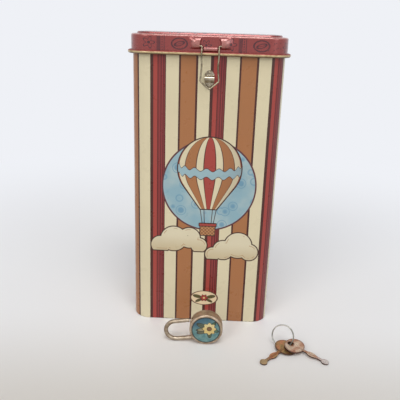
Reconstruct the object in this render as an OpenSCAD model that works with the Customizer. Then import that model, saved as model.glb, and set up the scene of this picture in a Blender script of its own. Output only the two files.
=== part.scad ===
// A tin money box: striped body, hinged lid with a coin slot, wire clasp,
// and its round padlock and two keys, taken off and lying in front.
// Millimetres. The origin is the middle of the tin's foot, +Z is up, the front faces -Y.

/* [Tin body] */
// Width of the body, left to right
body_w = 100; // [84:1:140]
// Depth of the body, front to back
body_d = 66; // [50:1:100]
// Height of the tin up to the shoulder of its lid
tin_h = 204.7; // [150:0.1:260]
// Radius of the upright corners
corner_r = 12; // [7:0.5:16]
// Thickness of the tinplate
sheet = 0.4; // [0.3:0.05:0.5]
// Height of the folded hems at the rim and the foot
hem_h = 3; // [2:0.1:5]
// Height of the base plate's upturned edge
base_edge_h = 3.5; // [2:0.1:6]
// Width of the lock seam down the back
seam_w = 4; // [3:0.1:6]
// How far the lock seam stands out of the back
seam_proud = 0.35; // [0.2:0.05:0.5]
// How far the lock seam lies to one side of the middle
seam_x = 30; // [22:0.5:34]

/* [Lid] */
// Height of the lid's rolled edge above the table, below the shoulder
skirt_h = 11.2; // [9.8:0.1:14]
// Clearance between the lid's skirt and the body, all round
skirt_gap = 0.9; // [0.6:0.05:1.2]
// Clearance between the body's rim and the underside of the lid
rim_gap = 0.3; // [0.2:0.05:1]
// Radius of the lid's shoulder
shoulder_r = 1.3; // [0.8:0.1:2]
// Radius of the rolled edge
bead_r = 1.2; // [0.9:0.05:1.3]
// How far the rolled edge sinks into the skirt's own line
bead_sink = 0.2; // [0.15:0.05:0.3]
// Width of the flat border round the raised panel
panel_inset = 3.6; // [2:0.1:8]
// Rise of the panel above the border
panel_rise = 1.3; // [0.6:0.1:3]
// How far the panel's edge slopes inward as it rises
panel_slope = 0.8; // [0.4:0.1:2]
// Length of the coin slot
slot_l = 38; // [28:1:50]
// Width of the coin slot
slot_w = 4.6; // [4.4:0.1:6]
// Depth of the coin slot's turned-down lip
slot_lip = 2.2; // [1:0.1:4]

/* [Hinge] */
// Outer radius of the hinge knuckles
knuckle_r = 1.7; // [1.5:0.05:1.8]
// Radius of the hinge pin
pin_r = 0.8; // [0.6:0.05:0.9]
// Running clearance between the pin and the knuckles
pin_gap = 0.05; // [0.03:0.01:0.1]
// Distance from the body's back to the pin's axis
pin_off = 2.5; // [2.4:0.05:3]
// How far the pin's axis lies below the middle of the rolled edge
pin_drop = 0.6; // [0.4:0.05:1]
// Length of the hinge over all its knuckles
hinge_l = 28.6; // [22:0.1:36]
// Length of the middle knuckle
mid_knuckle_l = 10; // [6:0.1:14]
// Gap between neighbouring knuckles
knuckle_gap = 0.3; // [0.2:0.05:0.6]
// Height of the hinge leaf on the body's back
leaf_h = 12; // [9:0.1:20]
// Thickness of the hinge leaf
leaf_t = 0.6; // [0.4:0.05:0.8]
// Distance between the hinge leaf's rivets
leaf_rivet_span = 19; // [14:0.5:22]

/* [Clasp] */
// How far the clasp sits to the right of the middle
clasp_x = 1; // [-8:0.5:8]
// Radius of the clasp's wire
bail_r = 0.55; // [0.45:0.05:0.6]
// Height of the clasp's pivot above the middle of the rolled edge
pivot_up = 4.7; // [4.6:0.1:5.4]
// Distance from the wire's pivot down to the point of its V
bail_l = 26.5; // [24.9:0.1:34]
// Height of the V at the wire loop's foot
bail_v_h = 5.1; // [3:0.1:6]
// Half the width of the wire loop at its top
bail_top_half = 5.4; // [5:0.1:5.6]
// Half the width of the wire loop at its waist
bail_waist_half = 5.2; // [4.8:0.1:5.6]
// Half the width of the wire loop above its V
bail_low_half = 6; // [5.2:0.1:8]
// Width of the recess between the two raised bosses on the skirt
recess_w = 13.2; // [12.6:0.1:16]
// Length of each boss on the skirt
boss_l = 6.9; // [5:0.1:10]
// Height of each boss
boss_h = 6; // [5.4:0.1:6.2]
// How far each boss stands out of the skirt
boss_out = 2; // [1.9:0.05:2.3]

/* [Staple] */
// How far the staple's middle lies below the clasp's pivot
staple_drop = 20.2; // [19.4:0.1:21.2]
// Width of the staple plate and its bridge
staple_w = 6.3; // [5:0.1:8]
// Height of the staple plate
staple_h = 10.9; // [10:0.1:14]
// Thickness of the staple's sheet
staple_t = 0.5; // [0.4:0.05:0.6]
// Outer height of the bridge
bridge_h = 4.2; // [4.1:0.1:4.6]
// How far the bridge stands out of the body
bridge_out = 3.8; // [3.6:0.1:4]
// Distance between the staple's rivets
staple_rivet_span = 8; // [7.2:0.1:9]

/* [Padlock] */
// Diameter of the padlock's case
lock_dia = 23; // [21:0.5:28]
// Thickness of the padlock's case
lock_t = 8; // [7.4:0.1:9]
// Radius of the shackle's wire
shackle_r = 1.45; // [1.2:0.05:1.6]
// Distance between the shackle's legs, centre to centre
shackle_span = 13.8; // [12:0.1:14.5]
// Distance from the case's centre to the centre of the shackle's bend, pulled out
bend_dist = 21.25; // [18:0.05:28]
// Travel of the shackle between pulled out and pushed home
shackle_travel = 4.8; // [4:0.1:5]
// Clearance of the shackle in its bores
shackle_gap = 0.15; // [0.1:0.01:0.2]
// Thickness of the case's wall
case_wall = 0.9; // [0.7:0.05:1]
// Width of the bezel round the picture
bezel_w = 1.5; // [1.2:0.1:2.5]
// Where the padlock lies: right of the middle
lock_x = 5; // [-30:0.5:40]
// Gap between the padlock's back and the tin's front
lock_ahead = 24; // [12:0.5:60]

/* [Keys] */
// Thickness of a key
key_t = 0.9; // [0.8:0.05:1]
// Width of a key's bow
bow_w = 15.6; // [12:0.1:16.5]
// Length of a key's bow
bow_l = 13.4; // [11:0.1:14.5]
// Distance from the bow's centre to the centre of the round tip
key_reach = 22.9; // [20:0.1:28]
// Radius of the round tip
tip_r = 2.5; // [2.2:0.05:2.6]
// Radius of the hole in the bow
key_hole_r = 2.1; // [2:0.05:2.3]
// Distance from the bow's centre to the hole
key_hole_off = 3; // [2.5:0.1:3.4]

/* [Key ring] */
// Radius of the ring along the middle of its wire
ring_r = 7.5; // [7.2:0.1:9]
// Radius of the ring's wire
ring_wire_r = 0.42; // [0.35:0.01:0.45]
// Offset between the ring's two turns
ring_turn_gap = 0.62; // [0.5:0.02:0.8]
// Lean of the ring, measured from lying flat
ring_lean = 70; // [64:1:76]
// Turn of the ring about the vertical
ring_yaw = 22; // [18:1:26]
// Where the ring stands: right of the middle
ring_x = 58.6; // [50:0.1:90]
// Gap between the ring's centre and the tin's front
ring_ahead = 28.4; // [20:0.1:80]
// Heading of the left key, from its bow to its tip
left_key_heading = 224; // [220:1:228]
// Heading of the right key, from its bow to its tip
right_key_heading = 325; // [321:1:329]

/* [Hidden] */
$fn = 48;
eps = 0.01;

// The tin's walls, as distances outside the body's outer face
skirt_in = skirt_gap;
skirt_out = skirt_gap + sheet;
bead_z = tin_h - skirt_h;
bead_mid = skirt_out + bead_r - bead_sink;
bead_out = bead_mid + bead_r;
rim_z = tin_h - sheet - rim_gap;
panel_foot = skirt_out - panel_inset;
panel_brow = panel_foot - panel_slope;
panel_lap = 0.6;
ramp_fold = 0.25;
front_y = -body_d / 2;
back_y = body_d / 2;
base_fit = 0.1;
curl_slit = 0.24;
curl_slit_angle = 128;

// The hinge
hinge_y = back_y + pin_off;
hinge_z = bead_z - pin_drop;
leaf_top = hinge_z - knuckle_r - 0.7;
leaf_rivet_z = leaf_top - leaf_h / 2;
hinge_notch = 0.4;

// The clasp: places at rest, with the wire swung clear of the staple
boss_z = bead_z + 6.5;
pivot_z = bead_z + pivot_up;
boss_inner = recess_w / 2;
wire_gap = 0.25;
pivot_r = bail_r + 0.02;
pivot_fit = 0.06;
pivot_y = front_y - skirt_out - bail_r - wire_gap;
bead_clear = 0.85;
over_bead_y = front_y - bead_out - bail_r - bead_clear;
below_bead_y = front_y - bridge_out - bail_r - 0.3;
bail_end = boss_inner + sheet + 2.4;
lip_r = 1.5;
lip_half = bail_top_half - bail_r - 0.35;
lip_z = bead_z + 2.8;
bail_shoulder_drop = 3.6;
bail_elbow_drop = 6.8;
bail_waist_top_drop = 11;
bail_waist_low_drop = 14;
pivot_rod_l = 3;

// The staple and the rivets
staple_z = pivot_z - staple_drop;
staple_rivet_r = 0.5;
staple_rivet_head_r = 0.85;
staple_rivet_head_h = 0.4;
staple_rivet_tail_r = 0.9;
staple_rivet_tail_h = 0.4;
leaf_rivet_r = 1;
leaf_rivet_head_r = 1.7;
leaf_rivet_head_h = 0.7;
leaf_rivet_tail_r = 1.6;
leaf_rivet_tail_h = 0.5;
rivet_fit = 0.05;
tail_gap = 0.02;
rivet_hole_l = 6;

// The padlock, in its own frame: shackle up along Z, face towards -Y
lock_r = lock_dia / 2;
half_t = lock_t / 2;
edge_r = 0.8;
cover_t = 0.6;
cover_lip = 0.4;
floor_t = 0.5;
picture_t = 0.45;
picture_dome = 0.25;
picture_sunk = 0.7;
floor_top = half_t - picture_sunk;
floor_low = floor_top - floor_t;
cover_in = half_t - cover_t;
inner_r = lock_r - case_wall;
frame_r = inner_r - 0.1;
frame_front = floor_low - 0.05;
frame_back = -cover_in + cover_lip + 0.05;
frame_web = 0.5;
cavity_front = frame_front - frame_web;
leg_x = shackle_span / 2;
leg_bore_r = shackle_r + shackle_gap;
bend_r = leg_x;
toe_tip = 10.8;
toe_notch = 12.6;
notch_h = 1.5;
notch_depth = 0.7;
key_mid = (cavity_front - cover_in) / 2;
keyway_w = 1.3;
keyway_h = 2 * tip_r + 0.3;
key_cavity = 3.2;
cavity_top = 8.7;
nose_z = toe_notch - shackle_travel;
nose_t = 0.4;
nose_gap = 0.4;
spring_x = 1.6;
spring_w = 2;
spring_foot = 7.5;
clip_r = 2;
clip_t = 0.6;
clip_play = 0.05;
groove_r = 1;
clip_bore_r = clip_r + 0.15;
heel_end = 0.2;
heel_groove = 0.9;
clip_seat = heel_groove + clip_play + clip_t + clip_play;
coil_floor = -5.6;
coil_wire = 0.15;
coil_r = 1.1;
coil_turns = 3.5;
bulge_mid = key_reach * 0.565;
bulge_half_l = 3.7;
bulge_half_w = 2.1;
ward_z = (bulge_mid + bulge_half_l + key_reach - tip_r) / 2 - bow_l / 2 - lock_r;
ward_t = 0.6;
ward_hole_r = 1.3;
toe_bore_floor = toe_tip - shackle_travel - 0.6;

// The padlock rests on its rim and on the outside of the shackle's bend
lock_tilt = asin((lock_r - bend_r - shackle_r) / bend_dist);
lock_y = front_y - lock_ahead - half_t;

// The key ring, standing on its lowest point and leaning back
ring_rim = ring_wire_r + ring_turn_gap / 2 * cos(ring_lean);
ring_z = ring_r * sin(ring_lean) + ring_rim;
ring_centre = [ring_x, front_y - ring_ahead, ring_z];
ring_across = [cos(ring_yaw), -sin(ring_yaw), 0];
ring_back = [sin(ring_yaw), cos(ring_yaw), 0];
ring_up = ring_back * cos(ring_lean) + [0, 0, sin(ring_lean)];
left_key_on_ring = -48;
right_key_on_ring = -33;
left_key_roll = -5;
right_key_roll = 0.5;
left_key_hole = on_ring(left_key_on_ring);
right_key_hole = on_ring(right_key_on_ring);
neck_half = 1;
blend_power = 4;
ring_notch = 0.5;
ring_front_end = 128;
ring_back_end = 150;

function unit(v) = v / norm(v);

// Points on an arc in the drawing plane
function arc(centre, r, from, to, steps) =
    [for (i = [0:steps]) let (a = from + (to - from) * i / steps) centre + r * [cos(a), sin(a)]];

// A curve that cuts one corner of a path
function cut_corner(a, b, c, cut, steps) =
    let (p = b + cut * unit(a - b), q = b + cut * unit(c - b))
    [for (i = [0:steps]) let (t = i / steps) (1 - t) * (1 - t) * p + 2 * t * (1 - t) * b + t * t * q];

// A path with each of its inner corners cut by a curve
function soft_path(points, cuts, steps) = concat(
    [points[0]],
    [for (i = [1:len(points) - 2]) each cut_corner(points[i - 1], points[i], points[i + 1], cuts[i - 1], steps)],
    [points[len(points) - 1]]);

// One upright direction for each ring of a tube, carried along without twist
function uprights(tangents, i, last) = i == len(tangents) ? [] :
    let (u = unit(last - (last * tangents[i]) * tangents[i]))
    concat([u], uprights(tangents, i + 1, u));

function on_ring(angle) = ring_centre + ring_r * (cos(angle) * ring_across + sin(angle) * ring_up);

// A tube of constant radius along a path, closed at both ends
module tube(path, r, sides, start_up) {
    count = len(path);
    tangents = [for (i = [0:count - 1]) unit(path[min(i + 1, count - 1)] - path[max(i - 1, 0)])];
    ups = uprights(tangents, 0, start_up);
    last = (count - 1) * sides;
    points = [for (i = [0:count - 1], k = [0:sides - 1])
        let (a = 360 * k / sides) path[i] + r * (cos(a) * ups[i] + sin(a) * cross(tangents[i], ups[i]))];
    walls = [for (i = [0:count - 2], k = [0:sides - 1])
        let (a = i * sides + k, b = i * sides + (k + 1) % sides)
        each [[a, b + sides, b], [a, a + sides, b + sides]]];
    start = [for (k = [1:sides - 2]) [0, k, k + 1]];
    end = [for (k = [1:sides - 2]) [last, last + k + 1, last + k]];
    polyhedron(points = points, faces = concat(walls, start, end), convexity = 6);
}

// A rounded rectangle
module round_rect(w, d, r) {
    square([w - 2 * r, d], center = true);
    square([w, d - 2 * r], center = true);
    for (x = [-1, 1], y = [-1, 1])
        translate([x * (w / 2 - r), y * (d / 2 - r)]) circle(r);
}

// A slot with round ends
module stadium(l, w) {
    square([l - w, w], center = true);
    for (x = [-1, 1]) translate([x * (l - w) / 2, 0]) circle(w / 2);
}

// Carries a profile round the tin: x is the distance outside the wall, y is the height
module round_the_tin() {
    for (turn = [0, 180]) rotate([0, 0, turn]) {
        translate([0, body_d / 2, 0]) rotate([90, 0, 90])
            linear_extrude(body_w - 2 * corner_r, center = true) children();
        translate([body_w / 2, 0, 0]) rotate([90, 0, 0])
            linear_extrude(body_d - 2 * corner_r, center = true) children();
        translate([body_w / 2 - corner_r, body_d / 2 - corner_r, 0])
            rotate_extrude(angle = 90) translate([corner_r, 0]) children();
        translate([-body_w / 2 + corner_r, body_d / 2 - corner_r, 0]) rotate([0, 0, 90])
            rotate_extrude(angle = 90) translate([corner_r, 0]) children();
    }
}

// A panel that reaches a given distance outside the body's outer face
module tin_panel(out, t) {
    linear_extrude(t) round_rect(body_w + 2 * out, body_d + 2 * out, corner_r + out);
}

// A cylinder along X, centred
module rod_x(r, l) {
    rotate([0, 90, 0]) cylinder(r = r, h = l, center = true);
}

// A rivet whose domed head stands on z = 0 and whose tail is set below the grip
module rivet(head_r, head_h, shank_r, grip, tail_r, tail_h) {
    dome_r = (head_r * head_r + head_h * head_h) / (2 * head_h);
    intersection() {
        cylinder(r = head_r, h = head_h);
        translate([0, 0, head_h - dome_r + eps]) sphere(dome_r);
    }
    translate([0, 0, -grip - tail_h / 2]) cylinder(r = shank_r, h = grip + tail_h / 2 + head_h / 2);
    translate([0, 0, -grip - tail_h]) cylinder(r = tail_r, h = tail_h);
}

// Places its children at each rivet of the staple, with +Z pointing out of the front
module at_staple_rivets() {
    for (z = [-1, 1]) translate([clasp_x, front_y - staple_t, staple_z + z * staple_rivet_span / 2])
        rotate([90, 0, 0]) children();
}

// Places its children at each rivet of the hinge leaf, with +Z pointing out of the back
module at_leaf_rivets() {
    for (x = [-1, 1]) translate([x * leaf_rivet_span / 2, back_y + leaf_t, leaf_rivet_z])
        rotate([-90, 0, 0]) children();
}

module body_profile() {
    polygon([[0, 0], [0, rim_z], [-2 * sheet, rim_z], [-2 * sheet, rim_z - hem_h],
        [-sheet, rim_z - hem_h], [-sheet, hem_h], [-2 * sheet, hem_h], [-2 * sheet, 0]]);
}

module body_shell() color("#c8a878") difference() {
    union() {
        round_the_tin() body_profile();
        translate([-seam_x - seam_w / 2, back_y - eps, hem_h])
            cube([seam_w, seam_proud + eps, rim_z - hem_h - 1]);
    }
    at_staple_rivets() cylinder(r = staple_rivet_r + rivet_fit, h = rivet_hole_l, center = true);
    at_leaf_rivets() cylinder(r = leaf_rivet_r + rivet_fit, h = rivet_hole_l, center = true);
}

module base_plate() color("#b8b4a8") {
    edge = -sheet - base_fit;
    lap = 2;
    translate([0, 0, hem_h]) tin_panel(edge - lap / 2, sheet);
    round_the_tin() polygon([[edge, hem_h], [edge, hem_h + base_edge_h], [edge - sheet, hem_h + base_edge_h],
        [edge - sheet, hem_h + sheet], [edge - lap, hem_h + sheet], [edge - lap, hem_h]]);
}

module lid_profile() {
    turn = [skirt_out - shoulder_r, tin_h - shoulder_r];
    top = tin_h + panel_rise;
    polygon(concat(
        [[skirt_out, bead_z]],
        arc(turn, shoulder_r, 0, 90, 6),
        [[panel_foot, tin_h], [panel_brow, top], [panel_brow - panel_lap, top],
            [panel_brow - panel_lap, top - sheet], [panel_brow - ramp_fold, top - sheet],
            [panel_foot - ramp_fold, tin_h - sheet]],
        arc(turn, shoulder_r - sheet, 90, 0, 6),
        [[skirt_in, bead_z]]));
}

// The rolled edge, a curl that stops short of the skirt
module curl_profile() {
    translate([bead_mid, bead_z]) difference() {
        circle(bead_r);
        circle(bead_r - sheet);
        rotate(curl_slit_angle) translate([0, -curl_slit / 2]) square([bead_r + eps, curl_slit]);
    }
}

// One boss pressed out of the skirt, drawn from its inner end at x = 0; shrunk, it is the hollow behind
module boss_body(shrink) {
    root = shrink > 0 ? front_y - skirt_in + eps : front_y - skirt_in - sheet / 2;
    l = root - (front_y - skirt_out - boss_out + shrink);
    half = boss_h / 2 - shrink;
    round_r = 1.1 - shrink / 2;
    translate([shrink, root, boss_z]) rotate([90, 0, 90])
        linear_extrude(boss_l - 2 * shrink) {
            translate([-l + round_r, -half]) square([l - round_r, 2 * half]);
            translate([-l, -half + round_r]) square([l, 2 * (half - round_r)]);
            for (z = [-1, 1]) translate([-l + round_r, z * (half - round_r)]) circle(round_r);
        }
}

module bosses(shrink) {
    for (side = [0, 1]) translate([clasp_x, 0, 0]) mirror([side, 0, 0])
        translate([boss_inner, 0, 0]) boss_body(shrink);
}

// The half-round lip pressed out of the skirt below the recess; shrunk, it is the hollow behind
module recess_lip(shrink) {
    root = shrink > 0 ? front_y - skirt_in + eps : front_y - skirt_in - sheet / 2;
    intersection() {
        translate([clasp_x, front_y - skirt_in - sheet / 2, lip_z]) rod_x(lip_r - shrink, 2 * (lip_half - shrink));
        translate([clasp_x - 10, root - 5, lip_z - 4]) cube([20, 5, 8]);
    }
}

module lid_knuckles() {
    l = (hinge_l - mid_knuckle_l) / 2 - knuckle_gap;
    for (side = [-1, 1]) translate([side * (mid_knuckle_l / 2 + knuckle_gap + l / 2), 0, 0]) {
        translate([0, hinge_y, hinge_z]) rod_x(knuckle_r, l);
        translate([-l / 2, back_y + skirt_in, hinge_z]) cube([l, sheet, pin_drop + 1]);
    }
}

module coin_slot(grow, t) {
    linear_extrude(t) stadium(slot_l + 2 * grow, slot_w + 2 * grow);
}

module lid_shell() color("#9b5250") {
    panel_top = tin_h + panel_rise;
    notch_half = mid_knuckle_l / 2 + knuckle_gap;
    notch_top = hinge_z + knuckle_r + hinge_notch;
    bead_cut = hinge_l / 2 + 1;
    difference() {
        union() {
            difference() {
                round_the_tin() union() {
                    lid_profile();
                    curl_profile();
                }
                translate([-bead_cut, back_y + skirt_out, bead_z - 2 * bead_r])
                    cube([2 * bead_cut, 4 * bead_r, 4 * bead_r]);
            }
            translate([0, 0, panel_top - sheet]) tin_panel(panel_brow, sheet);
            translate([0, 0, panel_top - slot_lip]) coin_slot(sheet, slot_lip - eps);
            lid_knuckles();
            bosses(0);
            recess_lip(0);
        }
        translate([0, 0, panel_top - slot_lip - 1]) coin_slot(0, slot_lip + 2);
        bosses(sheet);
        recess_lip(sheet);
        translate([clasp_x, pivot_y, pivot_z]) rod_x(pivot_r + pivot_fit, 2 * (boss_inner + 2 * sheet));
        translate([-notch_half, back_y + skirt_in - 1, bead_z - 3])
            cube([2 * notch_half, 3, notch_top - bead_z + 3]);
        translate([0, hinge_y, hinge_z]) rod_x(pin_r + pin_gap, hinge_l + 2);
    }
}

module hinge_leaf() color("#b9b2a4") {
    plate_w = hinge_l - 0.6;
    neck_w = mid_knuckle_l - 0.4;
    difference() {
        union() {
            translate([0, back_y + leaf_t, leaf_top - leaf_h / 2]) rotate([90, 0, 0])
                linear_extrude(leaf_t) round_rect(plate_w, leaf_h, 2);
            translate([-neck_w / 2, 0, 0]) rotate([90, 0, 90]) linear_extrude(neck_w)
                polygon([[back_y, leaf_top - 1.4], [back_y + leaf_t, leaf_top - 1.4],
                    [back_y + leaf_t, leaf_top - 0.2], [hinge_y - 0.2, hinge_z - knuckle_r + 0.3],
                    [hinge_y - 1, hinge_z - 0.4], [back_y + 0.1, leaf_top]]);
            translate([0, hinge_y, hinge_z]) rod_x(knuckle_r, mid_knuckle_l);
        }
        translate([0, hinge_y, hinge_z]) rod_x(pin_r + pin_gap, hinge_l);
        at_leaf_rivets() cylinder(r = leaf_rivet_r + rivet_fit, h = rivet_hole_l, center = true);
    }
}

module hinge_leaf_rivets() color("#cfc9bc") {
    at_leaf_rivets() rivet(leaf_rivet_head_r, leaf_rivet_head_h, leaf_rivet_r, leaf_t + sheet + tail_gap,
        leaf_rivet_tail_r, leaf_rivet_tail_h);
}

module hinge_pin() color("#cfc9bc") translate([0, hinge_y, hinge_z]) {
    head_t = 0.5;
    rod_x(pin_r, hinge_l + 0.2 + head_t);
    for (side = [-1, 1]) translate([side * (hinge_l / 2 + 0.1 + head_t / 2), 0, 0]) rod_x(pin_r + 0.4, head_t);
}

module clasp_bail() color("#b5aa96") {
    v_z = pivot_z - bail_l;
    half = [
        [bail_end - 2.4, pivot_y, pivot_z],
        [bail_top_half, pivot_y, pivot_z],
        [bail_top_half + 0.1, over_bead_y, pivot_z - bail_shoulder_drop],
        [bail_top_half + 0.1, over_bead_y, pivot_z - bail_elbow_drop],
        [bail_waist_half, below_bead_y, pivot_z - bail_waist_top_drop],
        [bail_waist_half, below_bead_y, pivot_z - bail_waist_low_drop],
        [bail_low_half, below_bead_y, v_z + bail_v_h],
    ];
    point = [0, below_bead_y, v_z];
    other = [for (i = [len(half) - 1:-1:0]) [-half[i][0], half[i][1], half[i][2]]];
    cuts = [0.9, 1.2, 1.2, 1.2, 1.2, 0.7];
    path = soft_path(concat(half, [point], other), concat(cuts, [0.8], [for (i = [5:-1:0]) cuts[i]]), 4);
    translate([clasp_x, 0, 0]) {
        tube(path, bail_r, 12, [0, 0, 1]);
        for (side = [-1, 1]) translate([side * (bail_end - pivot_rod_l / 2), pivot_y, pivot_z])
            rod_x(pivot_r, pivot_rod_l);
    }
}

module staple_plate() {
    half_h = staple_h / 2;
    half_w = staple_w / 2;
    flat_h = 2.9;
    tip_w = 1;
    polygon([[-half_w, -flat_h], [-tip_w, -half_h], [tip_w, -half_h], [half_w, -flat_h],
        [half_w, flat_h], [tip_w, half_h], [-tip_w, half_h], [-half_w, flat_h]]);
}

// The bridge's section, seen from the side: x is the height, y the distance out of the body
module bridge_section(shrink) {
    r = bridge_h / 2 - shrink;
    translate([-r, 0]) square([2 * r, bridge_out - bridge_h / 2]);
    intersection() {
        translate([0, bridge_out - bridge_h / 2]) circle(r);
        translate([-r, 0]) square([2 * r, bridge_out]);
    }
}

module staple() color("#c4beb2") difference() {
    translate([clasp_x, front_y, staple_z]) union() {
        rotate([90, 0, 0]) linear_extrude(staple_t) staple_plate();
        rotate([180, -90, 0]) linear_extrude(staple_w, center = true) bridge_section(0);
    }
    translate([clasp_x, front_y + eps, staple_z]) rotate([180, -90, 0])
        linear_extrude(2 * staple_w, center = true) bridge_section(staple_t);
    at_staple_rivets() cylinder(r = staple_rivet_r + rivet_fit, h = rivet_hole_l, center = true);
}

module staple_rivets() color("#d8d2c6") {
    at_staple_rivets() rivet(staple_rivet_head_r, staple_rivet_head_h, staple_rivet_r,
        staple_t + sheet + tail_gap, staple_rivet_tail_r, staple_rivet_tail_h);
}

// Places its children where the padlock lies, from the padlock's own frame
module lay_padlock() {
    translate([lock_x, lock_y, lock_r]) rotate([0, -90 - lock_tilt, 0]) children();
}

// Turns a profile about the padlock's own axis: x is the radius, y the distance to the front
module turned() {
    rotate([90, 0, 0]) rotate_extrude($fn = 96) children();
}

module leg_bores(r, low) {
    for (x = [-1, 1]) translate([x * leg_x, 0, low]) cylinder(r = r, h = lock_r + 1 - low);
}

// The slot for the key in the padlock's rim
module keyway() {
    translate([-keyway_w / 2, -key_mid - keyway_h / 2, -lock_r - 1]) cube([keyway_w, keyway_h, 3]);
}

module padlock_case() color("#9a8672") lay_padlock() difference() {
    turned() polygon(concat(
        [[inner_r, -cover_in], [lock_r, -cover_in]],
        arc([lock_r - edge_r, half_t - edge_r], edge_r, 0, 90, 5),
        [[lock_r - bezel_w, half_t], [lock_r - bezel_w, floor_top], [0, floor_top],
            [0, floor_low], [inner_r, floor_low]]));
    leg_bores(leg_bore_r, 4);
    keyway();
}

module padlock_back_cover() color("#8f7c69") lay_padlock() {
    lip_out = inner_r - 0.05;
    round_r = 0.5;
    difference() {
        turned() polygon(concat(
            [[0, -half_t]],
            arc([lock_r - round_r, -half_t + round_r], round_r, 270, 360, 5),
            [[lock_r, -cover_in], [lip_out, -cover_in], [lip_out, -cover_in + cover_lip],
                [lip_out - 0.5, -cover_in + cover_lip], [lip_out - 0.5, -cover_in], [0, -cover_in]]));
        intersection() {
            keyway();
            translate([-5, -lock_t, -lock_r]) cube([10, lock_t + cover_in, 5]);
        }
    }
}

module picture_disc() color("#5f9aa0") lay_padlock() turned() {
    r = lock_r - bezel_w - 0.1;
    edge = floor_top + picture_t;
    polygon(concat(
        [[0, floor_top], [r, floor_top]],
        [for (i = [0:6]) let (a = 15 * i) [r * cos(a), edge + picture_dome * (1 - pow(cos(a), 2))]]));
}

// A pocket cut into the frame from the back, as far as its front web
module frame_pocket(x, z, w, h) {
    translate([x, -cavity_front, z]) cube([w, cavity_front + half_t, h]);
}

module lock_frame() color("#a9a294") lay_padlock() difference() {
    rotate([90, 0, 0]) translate([0, 0, frame_back])
        cylinder(r = frame_r, h = frame_front - frame_back, $fn = 96);
    frame_pocket(-key_cavity, -lock_r, 2 * key_cavity, lock_r + cavity_top);
    frame_pocket(0, nose_z - nose_t / 2 - nose_gap, leg_x, nose_t + 2 * nose_gap);
    frame_pocket(0, ward_z - ward_t / 2 - 0.05, key_cavity + 0.6, ward_t + 0.1);
    translate([-key_cavity - 0.6, -spring_w / 2 - 0.05, -spring_foot - nose_t - 0.05])
        cube([2, spring_w + 0.1, nose_t + 0.1]);
    translate([leg_x, 0, toe_bore_floor]) cylinder(r = leg_bore_r, h = lock_r);
    translate([-leg_x, 0, 0]) cylinder(r = leg_bore_r, h = lock_r);
    translate([-leg_x, 0, coil_floor]) cylinder(r = clip_bore_r, h = clip_seat - coil_floor);
}

module ward_plate() color("#c9c2b4") lay_padlock() difference() {
    depth = cavity_front + cover_in - 0.1;
    near = keyway_w / 2 + 0.1;
    translate([near, -key_mid - depth / 2, ward_z - ward_t / 2])
        cube([key_cavity + 0.5 - near, depth, ward_t]);
    translate([0, -key_mid, ward_z - ward_t]) cylinder(r = ward_hole_r, h = 2 * ward_t);
}

module latch_spring() color("#9c9484") lay_padlock() {
    nose_end = leg_x - shackle_r + notch_depth - 0.1;
    translate([-spring_x - nose_t, -spring_w / 2, -spring_foot - nose_t])
        cube([nose_t, spring_w, spring_foot + nose_t + nose_z + nose_t / 2]);
    translate([-spring_x - nose_t, -spring_w / 2, nose_z - nose_t / 2])
        cube([nose_end + spring_x + nose_t, spring_w, nose_t]);
    translate([-key_cavity - 0.5, -spring_w / 2, -spring_foot - nose_t])
        cube([key_cavity + 0.5 - spring_x, spring_w, nose_t]);
}

module shackle() color("#b3a896") lay_padlock() difference() {
    union() {
        translate([leg_x, 0, toe_tip]) cylinder(r = shackle_r, h = bend_dist - toe_tip);
        translate([-leg_x, 0, heel_end]) cylinder(r = shackle_r, h = bend_dist - heel_end);
        translate([0, 0, bend_dist]) rotate([90, 0, 0])
            rotate_extrude(angle = 180) translate([bend_r, 0]) circle(shackle_r);
    }
    translate([leg_x - shackle_r - 1, -2, toe_notch - notch_h / 2]) cube([1 + notch_depth, 4, notch_h]);
    translate([-leg_x, 0, heel_groove]) difference() {
        cylinder(r = shackle_r + 1, h = clip_t + 2 * clip_play);
        translate([0, 0, -1]) cylinder(r = groove_r, h = clip_t + 3);
    }
}

module heel_clip() color("#8a8578") lay_padlock() translate([-leg_x, 0, heel_groove + clip_play]) difference() {
    cylinder(r = clip_r, h = clip_t);
    translate([0, 0, -1]) cylinder(r = groove_r + 0.05, h = clip_t + 2);
    translate([-groove_r * 0.75, 0, -1]) cube([groove_r * 1.5, clip_r + 1, clip_t + 2]);
}

module shackle_spring() color("#8a8578") lay_padlock() {
    low = coil_floor + coil_wire + 0.02;
    high = heel_end - coil_wire - 0.02;
    steps = 12;
    rise = (high - low) / coil_turns;
    echo(str("shackle spring, least gap between turns in mm: ", rise - 2 * coil_wire));
    path = [for (i = [0:coil_turns * steps]) let (a = 360 * i / steps)
        [-leg_x + coil_r * cos(a), coil_r * sin(a), low + rise * i / steps]];
    tube(path, coil_wire, 6, [1, 0, 0]);
}

// The ring's section: two turns of wire side by side
module ring_section() {
    for (side = [-1, 1]) translate([0, side * ring_turn_gap / 2]) circle(ring_wire_r, $fn = 24);
    square([ring_wire_r, ring_turn_gap], center = true);
}

module key_ring() color("#a9a59c") translate(ring_centre) rotate([0, 0, -ring_yaw]) rotate([ring_lean, 0, 0])
    difference() {
        rotate_extrude($fn = 96) translate([ring_r, 0]) ring_section();
        for (end = [[ring_front_end, 1], [ring_back_end, -1]])
            rotate([0, 0, end[0]]) translate([ring_r - 1, -ring_notch / 2, end[1] > 0 ? 0.1 : -1.1])
                cube([2, ring_notch, 1]);
    }

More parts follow.
